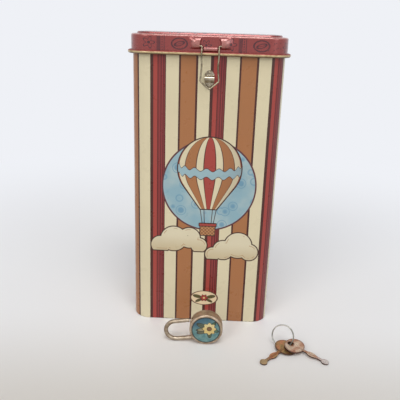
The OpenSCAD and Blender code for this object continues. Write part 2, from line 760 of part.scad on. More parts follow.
// Half the width of a key's outline at a distance along it from the bow's centre
function key_half(s) =
    let (bow = abs(s) < bow_l / 2 ? bow_w / 2 * sqrt(1 - pow(2 * s / bow_l, 2)) : 0,
        neck = s > 0 && s < key_reach ? neck_half : 0,
        bulge = abs(s - bulge_mid) < bulge_half_l ? bulge_half_w * sqrt(1 - pow((s - bulge_mid) / bulge_half_l, 2)) : 0,
        tip = abs(s - key_reach) < tip_r ? sqrt(tip_r * tip_r - pow(s - key_reach, 2)) : 0)
    pow(pow(bow, blend_power) + pow(neck, blend_power) + pow(bulge, blend_power) + pow(tip, blend_power),
        1 / blend_power);

key_bow_end = bow_l / 2 * cos(35);
key_tip_start = key_reach - tip_r * 0.8;
key_stations = concat(
    [for (a = [5:10:145]) -bow_l / 2 * cos(a)],
    [for (i = [1:22]) key_bow_end + (key_tip_start - key_bow_end) * i / 23],
    [for (a = [140:-15:5]) key_reach + tip_r * cos(a)]);

// A flat key, its bow's hole at the origin and its blade along +X
module key_blank() {
    far = len(key_stations) - 1;
    upper = [for (s = key_stations) [s, key_half(s)]];
    lower = [for (i = [far:-1:0]) [key_stations[i], -key_half(key_stations[i])]];
    translate([key_hole_off, 0, -key_t / 2]) difference() {
        linear_extrude(key_t) polygon(concat(upper, lower));
        translate([-key_hole_off, 0, -1]) cylinder(r = key_hole_r, h = key_t + 2);
    }
}

// Hangs a key on the ring at its hole, with its tip let down to the table
module lay_key(hole, heading, roll) {
    reach = key_hole_off + key_reach + tip_r;
    drop = hole[2] - key_t / 2 - tip_r * sin(abs(roll)) - 0.03;
    translate(hole) rotate([roll, asin(drop / reach), heading]) children();
}

module left_key() color("#a97c5c") lay_key(left_key_hole, left_key_heading, left_key_roll) key_blank();

module right_key() color("#b08468") lay_key(right_key_hole, right_key_heading, right_key_roll) key_blank();

body_shell();
base_plate();
lid_shell();
hinge_leaf();
hinge_leaf_rivets();
hinge_pin();
clasp_bail();
staple();
staple_rivets();
padlock_case();
padlock_back_cover();
picture_disc();
lock_frame();
ward_plate();
latch_spring();
shackle();
heel_clip();
shackle_spring();
key_ring();
left_key();
right_key();
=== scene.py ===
"""Looks for a striped tin money box with its clasp, padlock and keys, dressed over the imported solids."""
from math import asin, cos, degrees, hypot, pi, radians, sin, sqrt, tan

import bmesh
import bpy
from bmesh import ops
from bmesh.types import BMEdge, BMFace, BMVert
from mathutils import Matrix, Vector


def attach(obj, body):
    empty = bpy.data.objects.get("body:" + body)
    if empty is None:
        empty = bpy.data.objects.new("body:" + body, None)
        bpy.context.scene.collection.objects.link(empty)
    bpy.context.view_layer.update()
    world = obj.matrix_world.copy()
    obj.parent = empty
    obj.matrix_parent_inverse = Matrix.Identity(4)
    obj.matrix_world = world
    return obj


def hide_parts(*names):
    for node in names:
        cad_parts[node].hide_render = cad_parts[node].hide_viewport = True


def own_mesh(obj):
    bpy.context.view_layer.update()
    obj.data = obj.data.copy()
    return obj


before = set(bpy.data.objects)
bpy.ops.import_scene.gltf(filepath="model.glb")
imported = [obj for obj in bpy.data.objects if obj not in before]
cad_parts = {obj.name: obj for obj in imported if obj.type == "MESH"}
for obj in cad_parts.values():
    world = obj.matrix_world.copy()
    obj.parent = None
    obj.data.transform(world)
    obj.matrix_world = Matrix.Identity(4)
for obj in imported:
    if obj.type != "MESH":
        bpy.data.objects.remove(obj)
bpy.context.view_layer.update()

# Sizes, in millimetres, as in the part's source
HALF_W = 50.0
HALF_D = 33.0
CORNER = 12.0
SHEET = 0.4
FOLD = 2 * SHEET
RIM = 204.0
HEM = 3.0
SKIRT = 1.3
BEAD_Z = 193.5
BEAD_R = 1.2
BEAD_MID = 2.3
BEAD_END = 15.3
TOP_Z = 204.7
SHOULDER = 1.3
PANEL_FOOT = -2.3
PANEL_BROW = -3.1
PANEL_Z = 206.0
SLOT_HALF = 16.7
SLOT_R = 2.3
HINGE = Vector((0, 35.5, 192.9))
KNUCKLE_R = 1.7
KNUCKLE_NEAR = 5.3
KNUCKLE_FAR = 14.3
MIDDLE_KNUCKLE = 5.0
CLASP_X = 1.0
CLASP_WIRE_R = 0.55
PIVOT = Vector((CLASP_X, -35.1, 198.2))
BOSS_NEAR = 6.6
BOSS_FAR = 13.5
BOSS_LOW = 197.0
BOSS_HIGH = 203.0
LIP_Z = 196.3
LIP_R = 1.5
STAPLE_Z = 178.0
LOCK = Vector((5.0, -61.0, 11.5))
LOCK_R = 11.5
LOCK_HALF = 4.0
LEG_X = 6.9
LEG_R = 1.45
BEND_Z = 21.25
COIL_R = 1.1
LOCK_TILT = asin((LOCK_R - LEG_X - LEG_R) / BEND_Z)
RING = Vector((58.6, -61.4, 7.57))
RING_R = 7.5
RING_LEAN = radians(70)
RING_YAW = radians(22)

# A key: half its thickness, its hole, and where its bow, collar and tip lie and how far they reach
KEY_HALF = 0.45
KEY_HOLE_R = 2.1
KEY_BOW_X = 3.0
KEY_BOW = (6.7, 7.8)
KEY_COLLAR_X = 12.94
KEY_COLLAR = (3.7, 2.1)
KEY_TIP_X = 22.9
KEY_TIP_R = 2.5

# Where each key lies: its hole, then its heading, slope and roll in degrees
LEFT_KEY = ((62.539, -65.047, 2.336), 224, 3.307, -5)
RIGHT_KEY = ((63.909, -65.052, 3.735), 325, 6.538, 0.5)

# Steps of the modelling
MM = 0.001
MERGE = 0.002
CREASE = 32.0
CORNER_STEPS = 20
SKIRT_ROWS = 50
PRESSED_HALF = 16.0
PRESSED_STEP = 0.2

# The prints, once round the tin
FLAT_X = HALF_W - CORNER
FLAT_Y = HALF_D - CORNER
QUARTER = FLAT_X + FLAT_Y + CORNER * pi / 2
STRIPE_REPEAT = 4 * QUARTER / 8
STRIPE_START = -7.9
MOTIF_REPEAT = 4 * QUARTER / 6
MOTIF_START = 6.7


def ink(red, green, blue):
    """An ink's colour as the shader counts it."""
    parts = [c / 255 for c in (red, green, blue)]
    return tuple(c / 12.92 if c < 0.04045 else ((c + 0.055) / 1.055) ** 2.4 for c in parts) + (1.0,)


# Inks, each part from 0 to 255
CREAM = (214, 203, 171)
BROWN = (163, 109, 69)
DARK = (72, 36, 32)
RED = (160, 65, 58)
MAROON = (120, 46, 46)
MAROON_LINE = (80, 28, 32)
MAROON_PALE = (142, 56, 56)
LID_RED = (140, 52, 47)
LID_PRINT = (60, 8, 22)
OUTLINE = (62, 36, 32)
SKY = (239, 241, 246)
SKY_LIGHT = 0.41
# The near floor tone is painted shade, darkening the floor towards the camera
FLOOR_NEAR_SHADED = (208, 202, 192)
FLOOR_FAR = (244, 243, 242)

# One repeat of the stripes: the width of each in millimetres and its ink
STRIPES = [
    (1.3, DARK), (8.1, CREAM), (1.9, DARK), (2.7, RED), (0.5, MAROON_LINE), (0.8, MAROON), (0.4, MAROON_PALE),
    (0.7, MAROON), (0.4, MAROON_LINE), (0.8, MAROON_PALE), (0.4, MAROON_LINE), (0.9, MAROON),
    (0.7, MAROON_LINE), (8.3, CREAM), (1.2, DARK), (9.8, BROWN),
]

# The picture on the front: the disc, the balloon with its cloth, and the clouds as feet and round puffs
DISC = (3.3, 105.5)
DISC_R = 32.2
BALLOON_X = 3.3
BALLOON_Z = 118.0
BALLOON_R = 22.0
BALLOON_LEAN = radians(36)
BALLOON_FOOT = 88.5
ROPE_FOOT = 77.5
ROPES = [(3.0, 0.06), (5.6, 0.16)]
GORES = [
    (0.0, RED), (0.09, CREAM), (0.22, BROWN), (0.36, CREAM), (0.44, RED), (0.56, CREAM), (0.64, BROWN),
    (0.78, CREAM), (0.91, RED),
]
CLOUDS = [
    (56.0, [(-20.5, 65.5, 9.6), (-9.5, 66.5, 8.0), (-30.0, 60.5, 7.0), (-2.5, 61.0, 6.0)]),
    (50.5, [(25.5, 62.0, 10.0), (15.0, 58.0, 7.6), (33.6, 57.0, 6.6), (7.5, 54.5, 5.6)]),
]
LABEL = (2.6, 18.8)


class Field:
    """A number that changes over a surface. Sums on it add the nodes that work it out."""

    def __init__(self, paint, socket):
        self.paint = paint
        self.socket = socket

    def math(self, operation, *others, clamp=False):
        values = dict(enumerate((self,) + others))
        return self.paint.node("Math", values, {"operation": operation, "use_clamp": clamp})

    def __add__(self, other):
        return self.math("ADD", other)

    def __sub__(self, other):
        return self.math("SUBTRACT", other)

    def __mul__(self, other):
        return self.math("MULTIPLY", other)

    def __truediv__(self, other):
        return self.math("DIVIDE", other)

    def __rsub__(self, other):
        return self.paint.node("Math", {0: other, 1: self}, {"operation": "SUBTRACT"})

    def __abs__(self):
        return self.math("ABSOLUTE")

    __rmul__ = __mul__

    def least(self, other):
        return self.math("MINIMUM", other)

    def most(self, other):
        return self.math("MAXIMUM", other)

    def above(self, limit):
        return self.math("GREATER_THAN", limit)

    def below(self, limit):
        return self.math("LESS_THAN", limit)

    def rise(self, low, high, first=0.0, last=1.0):
        """Goes smoothly from first to last as this value goes from low to high."""
        values = {"Value": self, "From Min": low, "From Max": high, "To Min": first, "To Max": last}
        return self.paint.node("MapRange", values, {"interpolation_type": "SMOOTHSTEP"})


# Plane shapes in a print: each gives the distance to its edge, below 0 inside it
def length(x, y):
    return (x * x + y * y).math("SQRT")


def disc(x, y, centre, radius):
    return length(x - centre[0], y - centre[1]) - radius


def oval(x, y, centre, half):
    return (length((x - centre[0]) / half[0], (y - centre[1]) / half[1]) - 1) * min(half)


def oblong(x, y, centre, half):
    return (abs(x - centre[0]) - half[0]).most(abs(y - centre[1]) - half[1])


def inside(distance, soft=0.16):
    """1 inside a shape and 0 outside it."""
    return distance.math("MULTIPLY_ADD", -1 / soft, 0.5, clamp=True)


def stroke(distance, width, soft=0.16):
    """1 on a line along a shape's edge and 0 off it."""
    return inside(abs(distance) - width / 2, soft)


class Paint:
    """One finish: a material, or the sky, with the nodes that make it and its colour so far."""

    def __init__(self, name, sky=False):
        self.colour = None
        self.material = (bpy.data.worlds if sky else bpy.data.materials).new(name)
        self.material.use_nodes = True
        self.tree = self.material.node_tree
        self.shader = self.tree.nodes["Background" if sky else "Principled BSDF"]
        if not sky:
            where = self.node("TexCoord", {}, out="Object")
            self.spot = self.node("VectorMath", {0: where, "Scale": 1 / MM}, {"operation": "SCALE"})

    def node(self, kind, values, settings={}, out=0):
        """Adds a node with its inputs and settings, and gives one of its outputs."""
        node = self.tree.nodes.new("ShaderNode" + kind)
        for name, setting in settings.items():
            setattr(node, name, setting)
        for name, value in values.items():
            self.feed(node.inputs[name], value)
        return Field(self, node.outputs[out])

    def feed(self, socket, value):
        if isinstance(value, Field):
            self.tree.links.new(value.socket, socket)
        else:
            socket.default_value = ink(*value) if socket.type == "RGBA" else value

    def place(self):
        """Where on the piece, in millimetres."""
        return [self.node("SeparateXYZ", {0: self.spot}, out=axis) for axis in "XYZ"]

    def point(self, x, y):
        return self.node("CombineXYZ", {0: x, 1: y})

    def noise(self, size, detail=3.0, roughness=0.6, at=None, stretch=(1, 1, 1)):
        """Soft noise from 0 to 1, with patches about this many millimetres across."""
        spot = self.node("VectorMath", {0: at or self.spot, 1: stretch}, {"operation": "MULTIPLY"})
        values = {"Vector": spot, "Scale": 1 / size, "Detail": detail, "Roughness": roughness}
        return self.node("TexNoise", values)

    def cells(self, size, at=None, randomness=1.0):
        """How far the nearest of many scattered spots is, as a share of their spacing."""
        values = {"Vector": at or self.spot, "Scale": 1 / size, "Randomness": randomness}
        return self.node("TexVoronoi", values, out="Distance")

    def bands(self, value, stops):
        """Flat bands of colour, each from its own stop to the next."""
        field = self.node("ValToRGB", {0: value})
        ramp = field.socket.node.color_ramp
        ramp.interpolation = "CONSTANT"
        while len(ramp.elements) < len(stops):
            ramp.elements.new(1.0)
        for element, (position, colour) in zip(ramp.elements, stops):
            element.position = position
            element.color = ink(*colour)
        return field

    def mix(self, mask, under, over):
        return self.node("Mix", {0: mask, 6: under, 7: over}, {"data_type": "RGBA"}, 2)

    def lay(self, mask, tone):
        """Lays a tone over the colour so far."""
        self.colour = self.mix(mask, self.colour, tone)

    def draw(self, edge, fill, width, outline):
        """Fills a shape over the colour so far and draws its outline."""
        self.lay(inside(edge), fill)
        self.lay(stroke(edge, width), outline)

    def seen(self):
        """1 where the camera sees it, itself or in metal, and 0 where it only gives light."""
        straight = self.node("LightPath", {}, out="Is Camera Ray")
        return straight.most(self.node("LightPath", {}, out="Is Glossy Ray"))

    def finish(self, bump=None, **sockets):
        """The finished material, with its colour so far and a bump of (height, strength, distance)."""
        if self.colour is not None:
            sockets["Base_Color"] = self.colour
        if bump is not None:
            sockets["Normal"] = self.node("Bump", dict(zip(("Height", "Strength", "Distance"), bump)))
        for name, value in sockets.items():
            self.feed(self.shader.inputs[name.replace("_", " ")], value)
        return self.material


def turned(x, y, angle):
    """The same place measured along and across a direction at this angle."""
    along = x * cos(angle) + y * sin(angle)
    aside = y * cos(angle) - x * sin(angle)
    return along, aside


def wall_place(x, y):
    """How far round the wall from the middle of the front, in millimetres, positive to the right."""
    over_x = abs(x) - FLAT_X
    over_y = abs(y) - FLAT_Y
    bend = over_x.most(0.0).math("ARCTAN2", over_y.most(0.0)) * CORNER
    side = (FLAT_Y - abs(y).least(FLAT_Y)) * over_x.above(0.0)
    quarter = abs(x).least(FLAT_X) + bend + side
    back = y.above(0.0)
    reach = quarter + back * (2 * QUARTER - 2 * quarter)
    return reach * (x.above(0.0) * 2 - 1)


def stripes(paint, along):
    total = sum(width for width, _ in STRIPES)
    stops = []
    start = 0.0
    for width, colour in STRIPES:
        stops.append((start / total, colour))
        start += width
    part = ((along - STRIPE_START) / STRIPE_REPEAT).math("FRACT")
    return paint.bands(part, stops)


def sky_disc(paint, x, z):
    """A pale blue disc with a soft pattern of dots and rings, in a dark outline."""
    edge = disc(x, z, DISC, DISC_R)
    flat = paint.point(x, z)
    spots = paint.cells(9.5, flat, 0.75)
    dots = spots.rise(0.16, 0.3, 1.0, 0.0)
    rings = stroke(spots - 0.36, 0.05, 0.05)
    cloudy = paint.noise(14, 2, 0.5, flat)
    sky = paint.mix(cloudy.rise(0.35, 0.7), (137, 170, 182), (162, 183, 186))
    sky = paint.mix(dots.most(rings) * 0.75, sky, (92, 140, 168))
    paint.draw(edge, sky, 1.1, (92, 52, 58))


def balloon_cloth(paint, across, z):
    """The balloon's gores with a wavy pale band round them, shaded to the right."""
    cloth = paint.bands(across, GORES)
    for start, _ in GORES[1:]:
        cloth = paint.mix(stroke((across - start) * 46, 0.45), cloth, DARK)
    off = across - 0.5
    wave = (across * 16 * pi).math("SINE") * 1.1
    band = abs(z - BALLOON_Z + 4 - off * off * 18 + wave) - 3.0
    cloth = paint.mix(inside(band), cloth, (150, 178, 186))
    cloth = paint.mix(stroke(band, 0.5), cloth, DARK)
    return paint.mix(across.rise(0.55, 1.0, 0.0, 0.28), cloth, (90, 55, 50))


def balloon(paint, x, z):
    """A striped hot-air balloon with its ropes and basket."""
    side = x - BALLOON_X
    up = z - BALLOON_Z
    seam_z = BALLOON_Z - BALLOON_R * sin(BALLOON_LEAN)
    seam_x = BALLOON_R * cos(BALLOON_LEAN)
    low = z.below(seam_z)
    cone_half = (z - seam_z) * tan(BALLOON_LEAN) + seam_x
    ball_half = (BALLOON_R ** 2 - up * up).most(0.5).math("SQRT")
    half = ball_half + low * (cone_half - ball_half)
    ball = disc(x, z, (BALLOON_X, BALLOON_Z), BALLOON_R)
    cone = (abs(side) - cone_half) * cos(BALLOON_LEAN)
    edge = (ball + low * (cone - ball)).most(BALLOON_FOOT - z)
    across = (side / half).least(1.0).most(-1.0).math("ARCSINE") / pi + 0.5
    for reach, spread in ROPES:
        rope = stroke(abs(side) - reach + (BALLOON_FOOT - z) * spread, 0.5)
        rope = rope * inside(z - BALLOON_FOOT) * inside(ROPE_FOOT - z)
        paint.lay(rope, OUTLINE)
    paint.draw(edge, balloon_cloth(paint, across, z), 0.8, OUTLINE)
    basket = oblong(x, z, (BALLOON_X, 73.5), (4.9, 4.2)) - 0.5
    weave = (x * 2.6).math("SINE") * (z * 2.6).math("SINE")
    wicker = paint.mix(weave.rise(-0.3, 0.3), (133, 88, 60), (182, 132, 88))
    paint.draw(basket, wicker, 0.7, OUTLINE)
    lip = oblong(x, z, (BALLOON_X, 77.0), (5.6, 0.6)) - 0.5
    paint.draw(lip, RED, 0.6, OUTLINE)


def cloud(paint, x, z, foot, puffs):
    """A cream cloud with a dark outline, made of round puffs on a flat foot."""
    edge = None
    for cx, cz, radius in puffs:
        puff = disc(x, z, (cx, cz), radius)
        edge = puff if edge is None else edge.least(puff)
    edge = edge.most(foot - z)
    cream = paint.mix((z - foot).rise(0.0, 14.0), (196, 180, 146), (214, 204, 176))
    curls = stroke(edge + 1.7, 0.4) * paint.noise(7, 1, 0.5, paint.point(x, z)).above(0.52)
    cream = paint.mix(curls, cream, (176, 142, 108))
    paint.draw(edge, cream, 0.8, OUTLINE)


def leaf(paint, across, up, lie, green, outline, width=0.3, inset=0.0):
    """A leaf with its vein. It lies at an angle, from a start, with a length and half a width."""
    angle, start, size, half = lie
    along, aside = turned(across, up, angle)
    edge = oval(along - start, aside, (size / 2, 0.0), (size / 2, half))
    vein = stroke(aside, 0.22) * inside(edge + inset)
    paint.lay(inside(edge), green)
    paint.lay(stroke(edge, width).most(vein), outline)


def label(paint, x, z):
    """A small cream oval with a red flower between leaves."""
    edge = oval(x, z, LABEL, (9.9, 5.7))
    paint.draw(edge, (227, 205, 168), 0.55, (96, 62, 50))
    side = abs(x - LABEL[0])
    up = z - LABEL[1]
    for lie in ((0.22, 2.0, 6.2, 1.25), (-0.5, 2.0, 4.8, 0.95)):
        leaf(paint, side, up, lie, (98, 92, 58), (58, 46, 34), inset=0.4)
    reach = length(side, up)
    petals = reach - ((up.math("ARCTAN2", side) * 6).math("COSINE") * 0.45 + 2.5)
    paint.draw(petals, (152, 64, 56), 0.3, (76, 32, 30))
    paint.lay(inside(reach - 0.8), (222, 190, 130))


def scuffs(paint, z):
    """Faint stains, small chips and a worn foot."""
    tone = paint.noise(22, 2, 0.5)
    paint.lay(tone.rise(0.35, 0.75, 0.0, 0.06), (120, 98, 70))
    specks = paint.cells(12.0).rise(0.022, 0.034, 1.0, 0.0) * paint.noise(30, 1, 0.5).rise(0.52, 0.6)
    paint.lay(specks * 0.7, (104, 76, 52))
    foot = (1.1 - z).rise(0.0, 1.0) * paint.noise(2.2).rise(0.4, 0.62)
    paint.lay(foot, (112, 96, 82))


def striped_print():
    """The wall's stripes, with the picture and the label on the front."""
    paint = Paint("striped_print")
    x, y, z = paint.place()
    bare = stripes(paint, wall_place(x, y))
    paint.colour = bare
    sky_disc(paint, x, z)
    balloon(paint, x, z)
    for foot, puffs in CLOUDS:
        cloud(paint, x, z, foot, puffs)
    label(paint, x, z)
    paint.colour = paint.mix(y.below(0.5 - HALF_D), bare, paint.colour)
    scuffs(paint, z)
    dents = paint.noise(34, 2, 0.5) * 0.6 + paint.noise(1.2, 2, 0.5) * 0.012
    rough = paint.noise(6).rise(0.3, 0.7, 0.26, 0.42)
    return paint.finish((dents, 0.35, 0.0006), Roughness=rough, Specular_IOR_Level=0.32, Coat_Weight=0.1,
                        Coat_Roughness=0.2)


def flower_line(x, z, centre, size, petals):
    """The outline of a flower with its round middle."""
    across = x - centre[0]
    up = z - centre[1]
    angle = up.math("ARCTAN2", across)
    reach = length(across, up)
    edge = reach - ((angle * petals).math("COSINE") * 0.26 + 0.74) * size
    return stroke(edge, 0.7).most(inside(reach - size * 0.24))


def motif_row(paint, along, up):
    """Tone-on-tone ornaments in a row: flowers, a beaded band, an oval with a leaf and a patch of dots."""
    part = (((along - MOTIF_START) / MOTIF_REPEAT).math("FRACT") - 0.5) * MOTIF_REPEAT
    mask = flower_line(part, up, (-19.0, 0.3), 3.7, 5)
    mask = mask.most(flower_line(part, up, (17.5, -0.5), 3.2, 6))
    band = part + 10.5
    beads = length(band, ((up / 1.5).math("FRACT") - 0.5) * 1.5) - 0.42
    mask = mask.most(stroke(abs(band) - 1.35, 0.5)).most(inside(beads))
    shade = inside(abs(band + 2.4) - 1.1, 0.9) * 0.75
    border = stroke(oval(part, up, (0.5, 0.0), (4.9, 3.3)), 0.7)
    slant = up - (part - 0.5) * 0.25
    vein = stroke(slant, 0.3) * abs(part - 0.5).below(2.6)
    blade = oval(part, slant, (0.5, 0.0), (3.0, 1.25))
    mask = mask.most(border).most(stroke(blade, 0.5)).most(vein)
    dots = paint.cells(1.5, paint.point(part, up), 0.6).rise(0.2, 0.34, 1.0, 0.0)
    patch = inside(oval(part, up, (9.6, 0.0), (3.4, 3.4)), 0.5)
    return mask.most(dots * patch).most(shade)


def lid_print():
    """The lid's dark red with its ornaments, rubbed pale and given a painted highlight where it stands proud
    and along its shoulder.
    """
    paint = Paint("lid_print")
    x, y, z = paint.place()
    skirt = motif_row(paint, wall_place(x, y), z - 199.2) * z.below(TOP_Z - SHOULDER + 0.2)
    row = ((y / 11.0).math("FRACT") - 0.5) * 11.0
    shift = (y / 11.0).math("FLOOR") * 19.0
    top = motif_row(paint, x + shift + 200.0, row) * z.above(PANEL_Z - 0.6)
    faded = paint.noise(4).rise(0.3, 0.55, 0.7, 1.0)
    paint.colour = paint.mix(skirt.most(top) * faded * 0.92, LID_RED, LID_PRINT)
    rub = paint.noise(4, 4, 0.7)
    # Along the shoulder: a pale line, part rubbed lacquer and part painted highlight
    edge = z.rise(TOP_Z - 1.2, TOP_Z - 0.3) * (1 - z.rise(TOP_Z - 0.04, TOP_Z + 0.06))
    paint.lay(edge * rub.rise(0.38, 0.6, 0.25, 0.8), (206, 154, 144))
    # On the pressed bosses and lip: a paler tone, part rubbed paint and part painted highlight
    proud = (-HALF_D - SKIRT - y).rise(0.5, 1.6) * z.above(BEAD_Z + BEAD_R)
    paint.lay(proud * rub.rise(0.3, 0.7, 0.6, 0.3), (196, 140, 130))
    paint.lay(rub.rise(0.68, 0.82, 0.0, 0.3), (104, 52, 48))
    specks = paint.cells(8.0).rise(0.04, 0.06, 1.0, 0.0) * paint.noise(16, 1, 0.5).rise(0.54, 0.6)
    paint.lay(specks * 0.8, (58, 30, 28))
    dents = paint.noise(18, 2, 0.5) * 0.5 + paint.noise(1.1, 2, 0.5) * 0.012
    rough = paint.noise(5).rise(0.3, 0.7, 0.2, 0.34)
    return paint.finish((dents, 0.35, 0.0005), Roughness=rough, Metallic=0.35, Coat_Weight=0.7,
                        Coat_Roughness=0.1)


def metal(name, fresh, worn, rust, size=5.0, rough=(0.28, 0.46), metallic=1.0, rust_from=0.6):
    """A tarnished metal: fresh and worn tones in patches, with a little rust."""
    paint = Paint(name)
    patch = paint.noise(size, 4, 0.6)
    fine = paint.noise(size / 6)
    paint.colour = paint.mix(patch.rise(0.35, 0.65), fresh, worn)
    stain = (patch * 0.6 + fine * 0.4).rise(rust_from, rust_from + 0.12, 0.0, 0.8)
    paint.lay(stain, rust)
    roughness = (patch * 0.5 + fine * 0.5).rise(0.3, 0.7, *rough)
    return paint.finish((fine, 0.25, 0.0001), Roughness=roughness, Metallic=metallic)


def key_metal(name, lie, fresh, worn, stain, tip):
    """Thin copper on a steel key, rubbed in patches, with dirt along its rib, rim and hole."""
    paint = Paint(name)
    x, y, _ = paint.place()
    along, aside = turned(x - lie[0][0], y - lie[0][1], radians(lie[1]))
    aside = abs(aside)
    patch = paint.noise(4.5, 4, 0.6)
    fine = paint.noise(0.9)
    paint.colour = paint.mix(patch.rise(0.35, 0.65), fresh, worn)
    paint.lay(along.rise(18.0, 23.0, 0.0, 0.85), tip)
    rib = stroke(aside - 0.5, 0.35, 0.3) * along.rise(4.5, 6.5) * (1 - along.rise(22.0, 25.0))
    bow = oval(along, aside, (KEY_BOW_X, 0.0), KEY_BOW)
    rim = bow.rise(-1.3, -0.1) * (1 - bow.rise(0.0, 0.5))
    round_hole = 1 - (length(along, aside) - KEY_HOLE_R).rise(0.0, 1.2)
    dirt = rib.most(rim * 0.8).most(round_hole * 0.8) * fine.rise(0.25, 0.55, 0.35, 1.0)
    blotch = (patch * 0.55 + fine * 0.45).rise(0.52, 0.66, 0.0, 0.75)
    paint.lay(dirt.most(blotch), stain)
    rough = (patch * 0.5 + fine * 0.5).rise(0.3, 0.7, 0.24, 0.42)
    return paint.finish((fine, 0.25, 0.0001), Roughness=rough, Metallic=0.7)


def gold_edge():
    """The rolled edge's gold lacquer, rubbed and browned in patches, with painted shade under the curl."""
    paint = Paint("gold_edge")
    rub = paint.noise(3.5, 4, 0.65, stretch=(1, 1, 2))
    _, _, z = paint.place()
    paint.colour = paint.mix(rub.rise(0.42, 0.66), (198, 177, 133), (160, 137, 97))
    # Painted shade: the curl darkens towards its underside
    paint.lay((BEAD_Z - 0.15 - z).rise(0.0, 0.75), (96, 70, 48))
    paint.lay(rub.rise(0.66, 0.78, 0.0, 0.7), (96, 68, 50))
    paint.lay((z - BEAD_Z).rise(0.35, 0.7), LID_RED)
    rough = rub.rise(0.3, 0.7, 0.28, 0.5)
    return paint.finish((rub, 0.2, 0.0001), Roughness=rough, Metallic=0.3)


def lock_picture():
    """A round picture of a flower and leaves on teal, in a dark edge."""
    paint = Paint("lock_picture")
    wx, _, wz = paint.place()
    x = wx - LOCK.x
    z = wz - LOCK.z
    wash = paint.noise(2.4)
    paint.colour = paint.mix(wash.rise(0.35, 0.65), (70, 113, 116), (104, 139, 134))
    paint.lay((z - x * 0.5).rise(2.5, 8.0) * 0.85, (44, 84, 106))
    across = x - 2.3
    up = z - 1.2
    leaves = [((2.75, 0.0, 9.2, 1.7), (74, 84, 66)), ((-2.72, 0.0, 9.0, 1.9), (92, 92, 68)),
              ((3.3, 0.0, 8.8, 1.2), (150, 140, 104)), ((-1.5, 0.0, 7.0, 1.5), (66, 88, 60)),
              ((0.9, 0.0, 6.6, 1.3), (58, 96, 70)), ((-0.3, 0.0, 6.6, 1.3), (72, 108, 84))]
    for lie, green in leaves:
        leaf(paint, across, up, lie, green, (40, 42, 34), 0.36)
    angle = up.math("ARCTAN2", across)
    reach = length(across, up)
    petals = reach - ((angle * 8).math("COSINE") * 0.55 + 4.35)
    paint.lay(inside(petals), (206, 180, 112))
    paint.lay(inside(petals) * up.rise(-1.0, 3.0) * 0.6, (214, 200, 152))
    rays = stroke((angle * 4).math("SINE") * reach, 0.34) * reach.above(1.9) * inside(petals)
    paint.lay(rays * 0.75, (138, 108, 62))
    paint.lay(stroke(petals, 0.4), (54, 46, 34))
    paint.draw(reach - 1.6, (112, 78, 48), 0.34, (50, 36, 28))
    paint.lay(length(x, z).rise(8.9, 9.6), (44, 50, 48))
    rough = wash.rise(0.3, 0.7, 0.14, 0.26)
    return paint.finish((wash, 0.1, 0.0001), Roughness=rough, Coat_Weight=0.3, Coat_Roughness=0.08)


def inside_lacquer():
    """The tin's inside: thin gold lacquer over bare tinplate."""
    paint = Paint("inside_lacquer")
    cloudy = paint.noise(16, 3, 0.5)
    grain = paint.noise(2.0, stretch=(1, 1, 0.08))
    paint.colour = paint.mix(cloudy.rise(0.35, 0.7), (176, 166, 142), (158, 146, 122))
    paint.lay(grain.rise(0.45, 0.75, 0.0, 0.25), (128, 116, 96))
    return paint.finish((grain, 0.15, 0.0001), Roughness=cloudy.rise(0.3, 0.7, 0.34, 0.5), Metallic=0.85)


STRIPED = striped_print()
LID = lid_print()
GOLD = gold_edge()
INSIDE = inside_lacquer()
PICTURE = lock_picture()
FITTINGS = metal("fittings_steel", (178, 166, 146), (130, 117, 96), (98, 74, 54), 3.0, (0.16, 0.3), 1.0, 0.62)
WIRE = metal("clasp_steel", (160, 149, 126), (108, 98, 78), (84, 68, 50), 5.0, (0.2, 0.36), 1.0, 0.62)
CASE = metal("case_steel", (187, 167, 144), (151, 128, 105), (100, 71, 54), 4.0, (0.26, 0.46), 0.75)
SHACKLE = metal("shackle_steel", (176, 161, 142), (136, 119, 99), (102, 78, 60), 4.5, (0.26, 0.44))
WORKS = metal("works_steel", (150, 144, 132), (122, 114, 100), (98, 76, 56), 4.0)
RING_WIRE = metal("ring_wire", (172, 170, 162), (128, 126, 117), (96, 80, 64), 3.0, (0.24, 0.4))
TIN = metal("bare_tin", (176, 170, 158), (150, 142, 128), (122, 98, 76), 12.0, (0.34, 0.5), 0.9)
# The keys' cut edges: dark rusty tones, deepened into painted shade on their thickness
KEY_EDGE_SHADE = metal("key_edge_shade", (84, 56, 44), (64, 44, 34), (56, 36, 28), 3.0, (0.4, 0.6), 0.5)
COPPER = key_metal("coppered_steel", LEFT_KEY, (188, 120, 82), (152, 128, 78), (98, 56, 38), (172, 150, 112))
RUBBED = key_metal("rubbed_steel", RIGHT_KEY, (206, 182, 156), (178, 126, 96), (108, 62, 46), (202, 194, 188))


def placed(at, angle=0.0, axis="Z"):
    """A move to a place after a turn about an axis."""
    return Matrix.Translation(at) @ Matrix.Rotation(angle, 4, axis)


def add(name, data):
    """Puts a new object with this data into the scene."""
    made = bpy.data.objects.new(name, data)
    bpy.context.scene.collection.objects.link(made)
    return made


def add_shape(name, bm, place=Matrix()):
    """Puts a millimetre shape into the scene, moved to its place."""
    ops.transform(bm, matrix=place, verts=bm.verts)
    ops.scale(bm, vec=(MM, MM, MM), verts=bm.verts)
    mesh = bpy.data.meshes.new(name)
    bm.to_mesh(mesh)
    bm.free()
    return add(name, mesh)


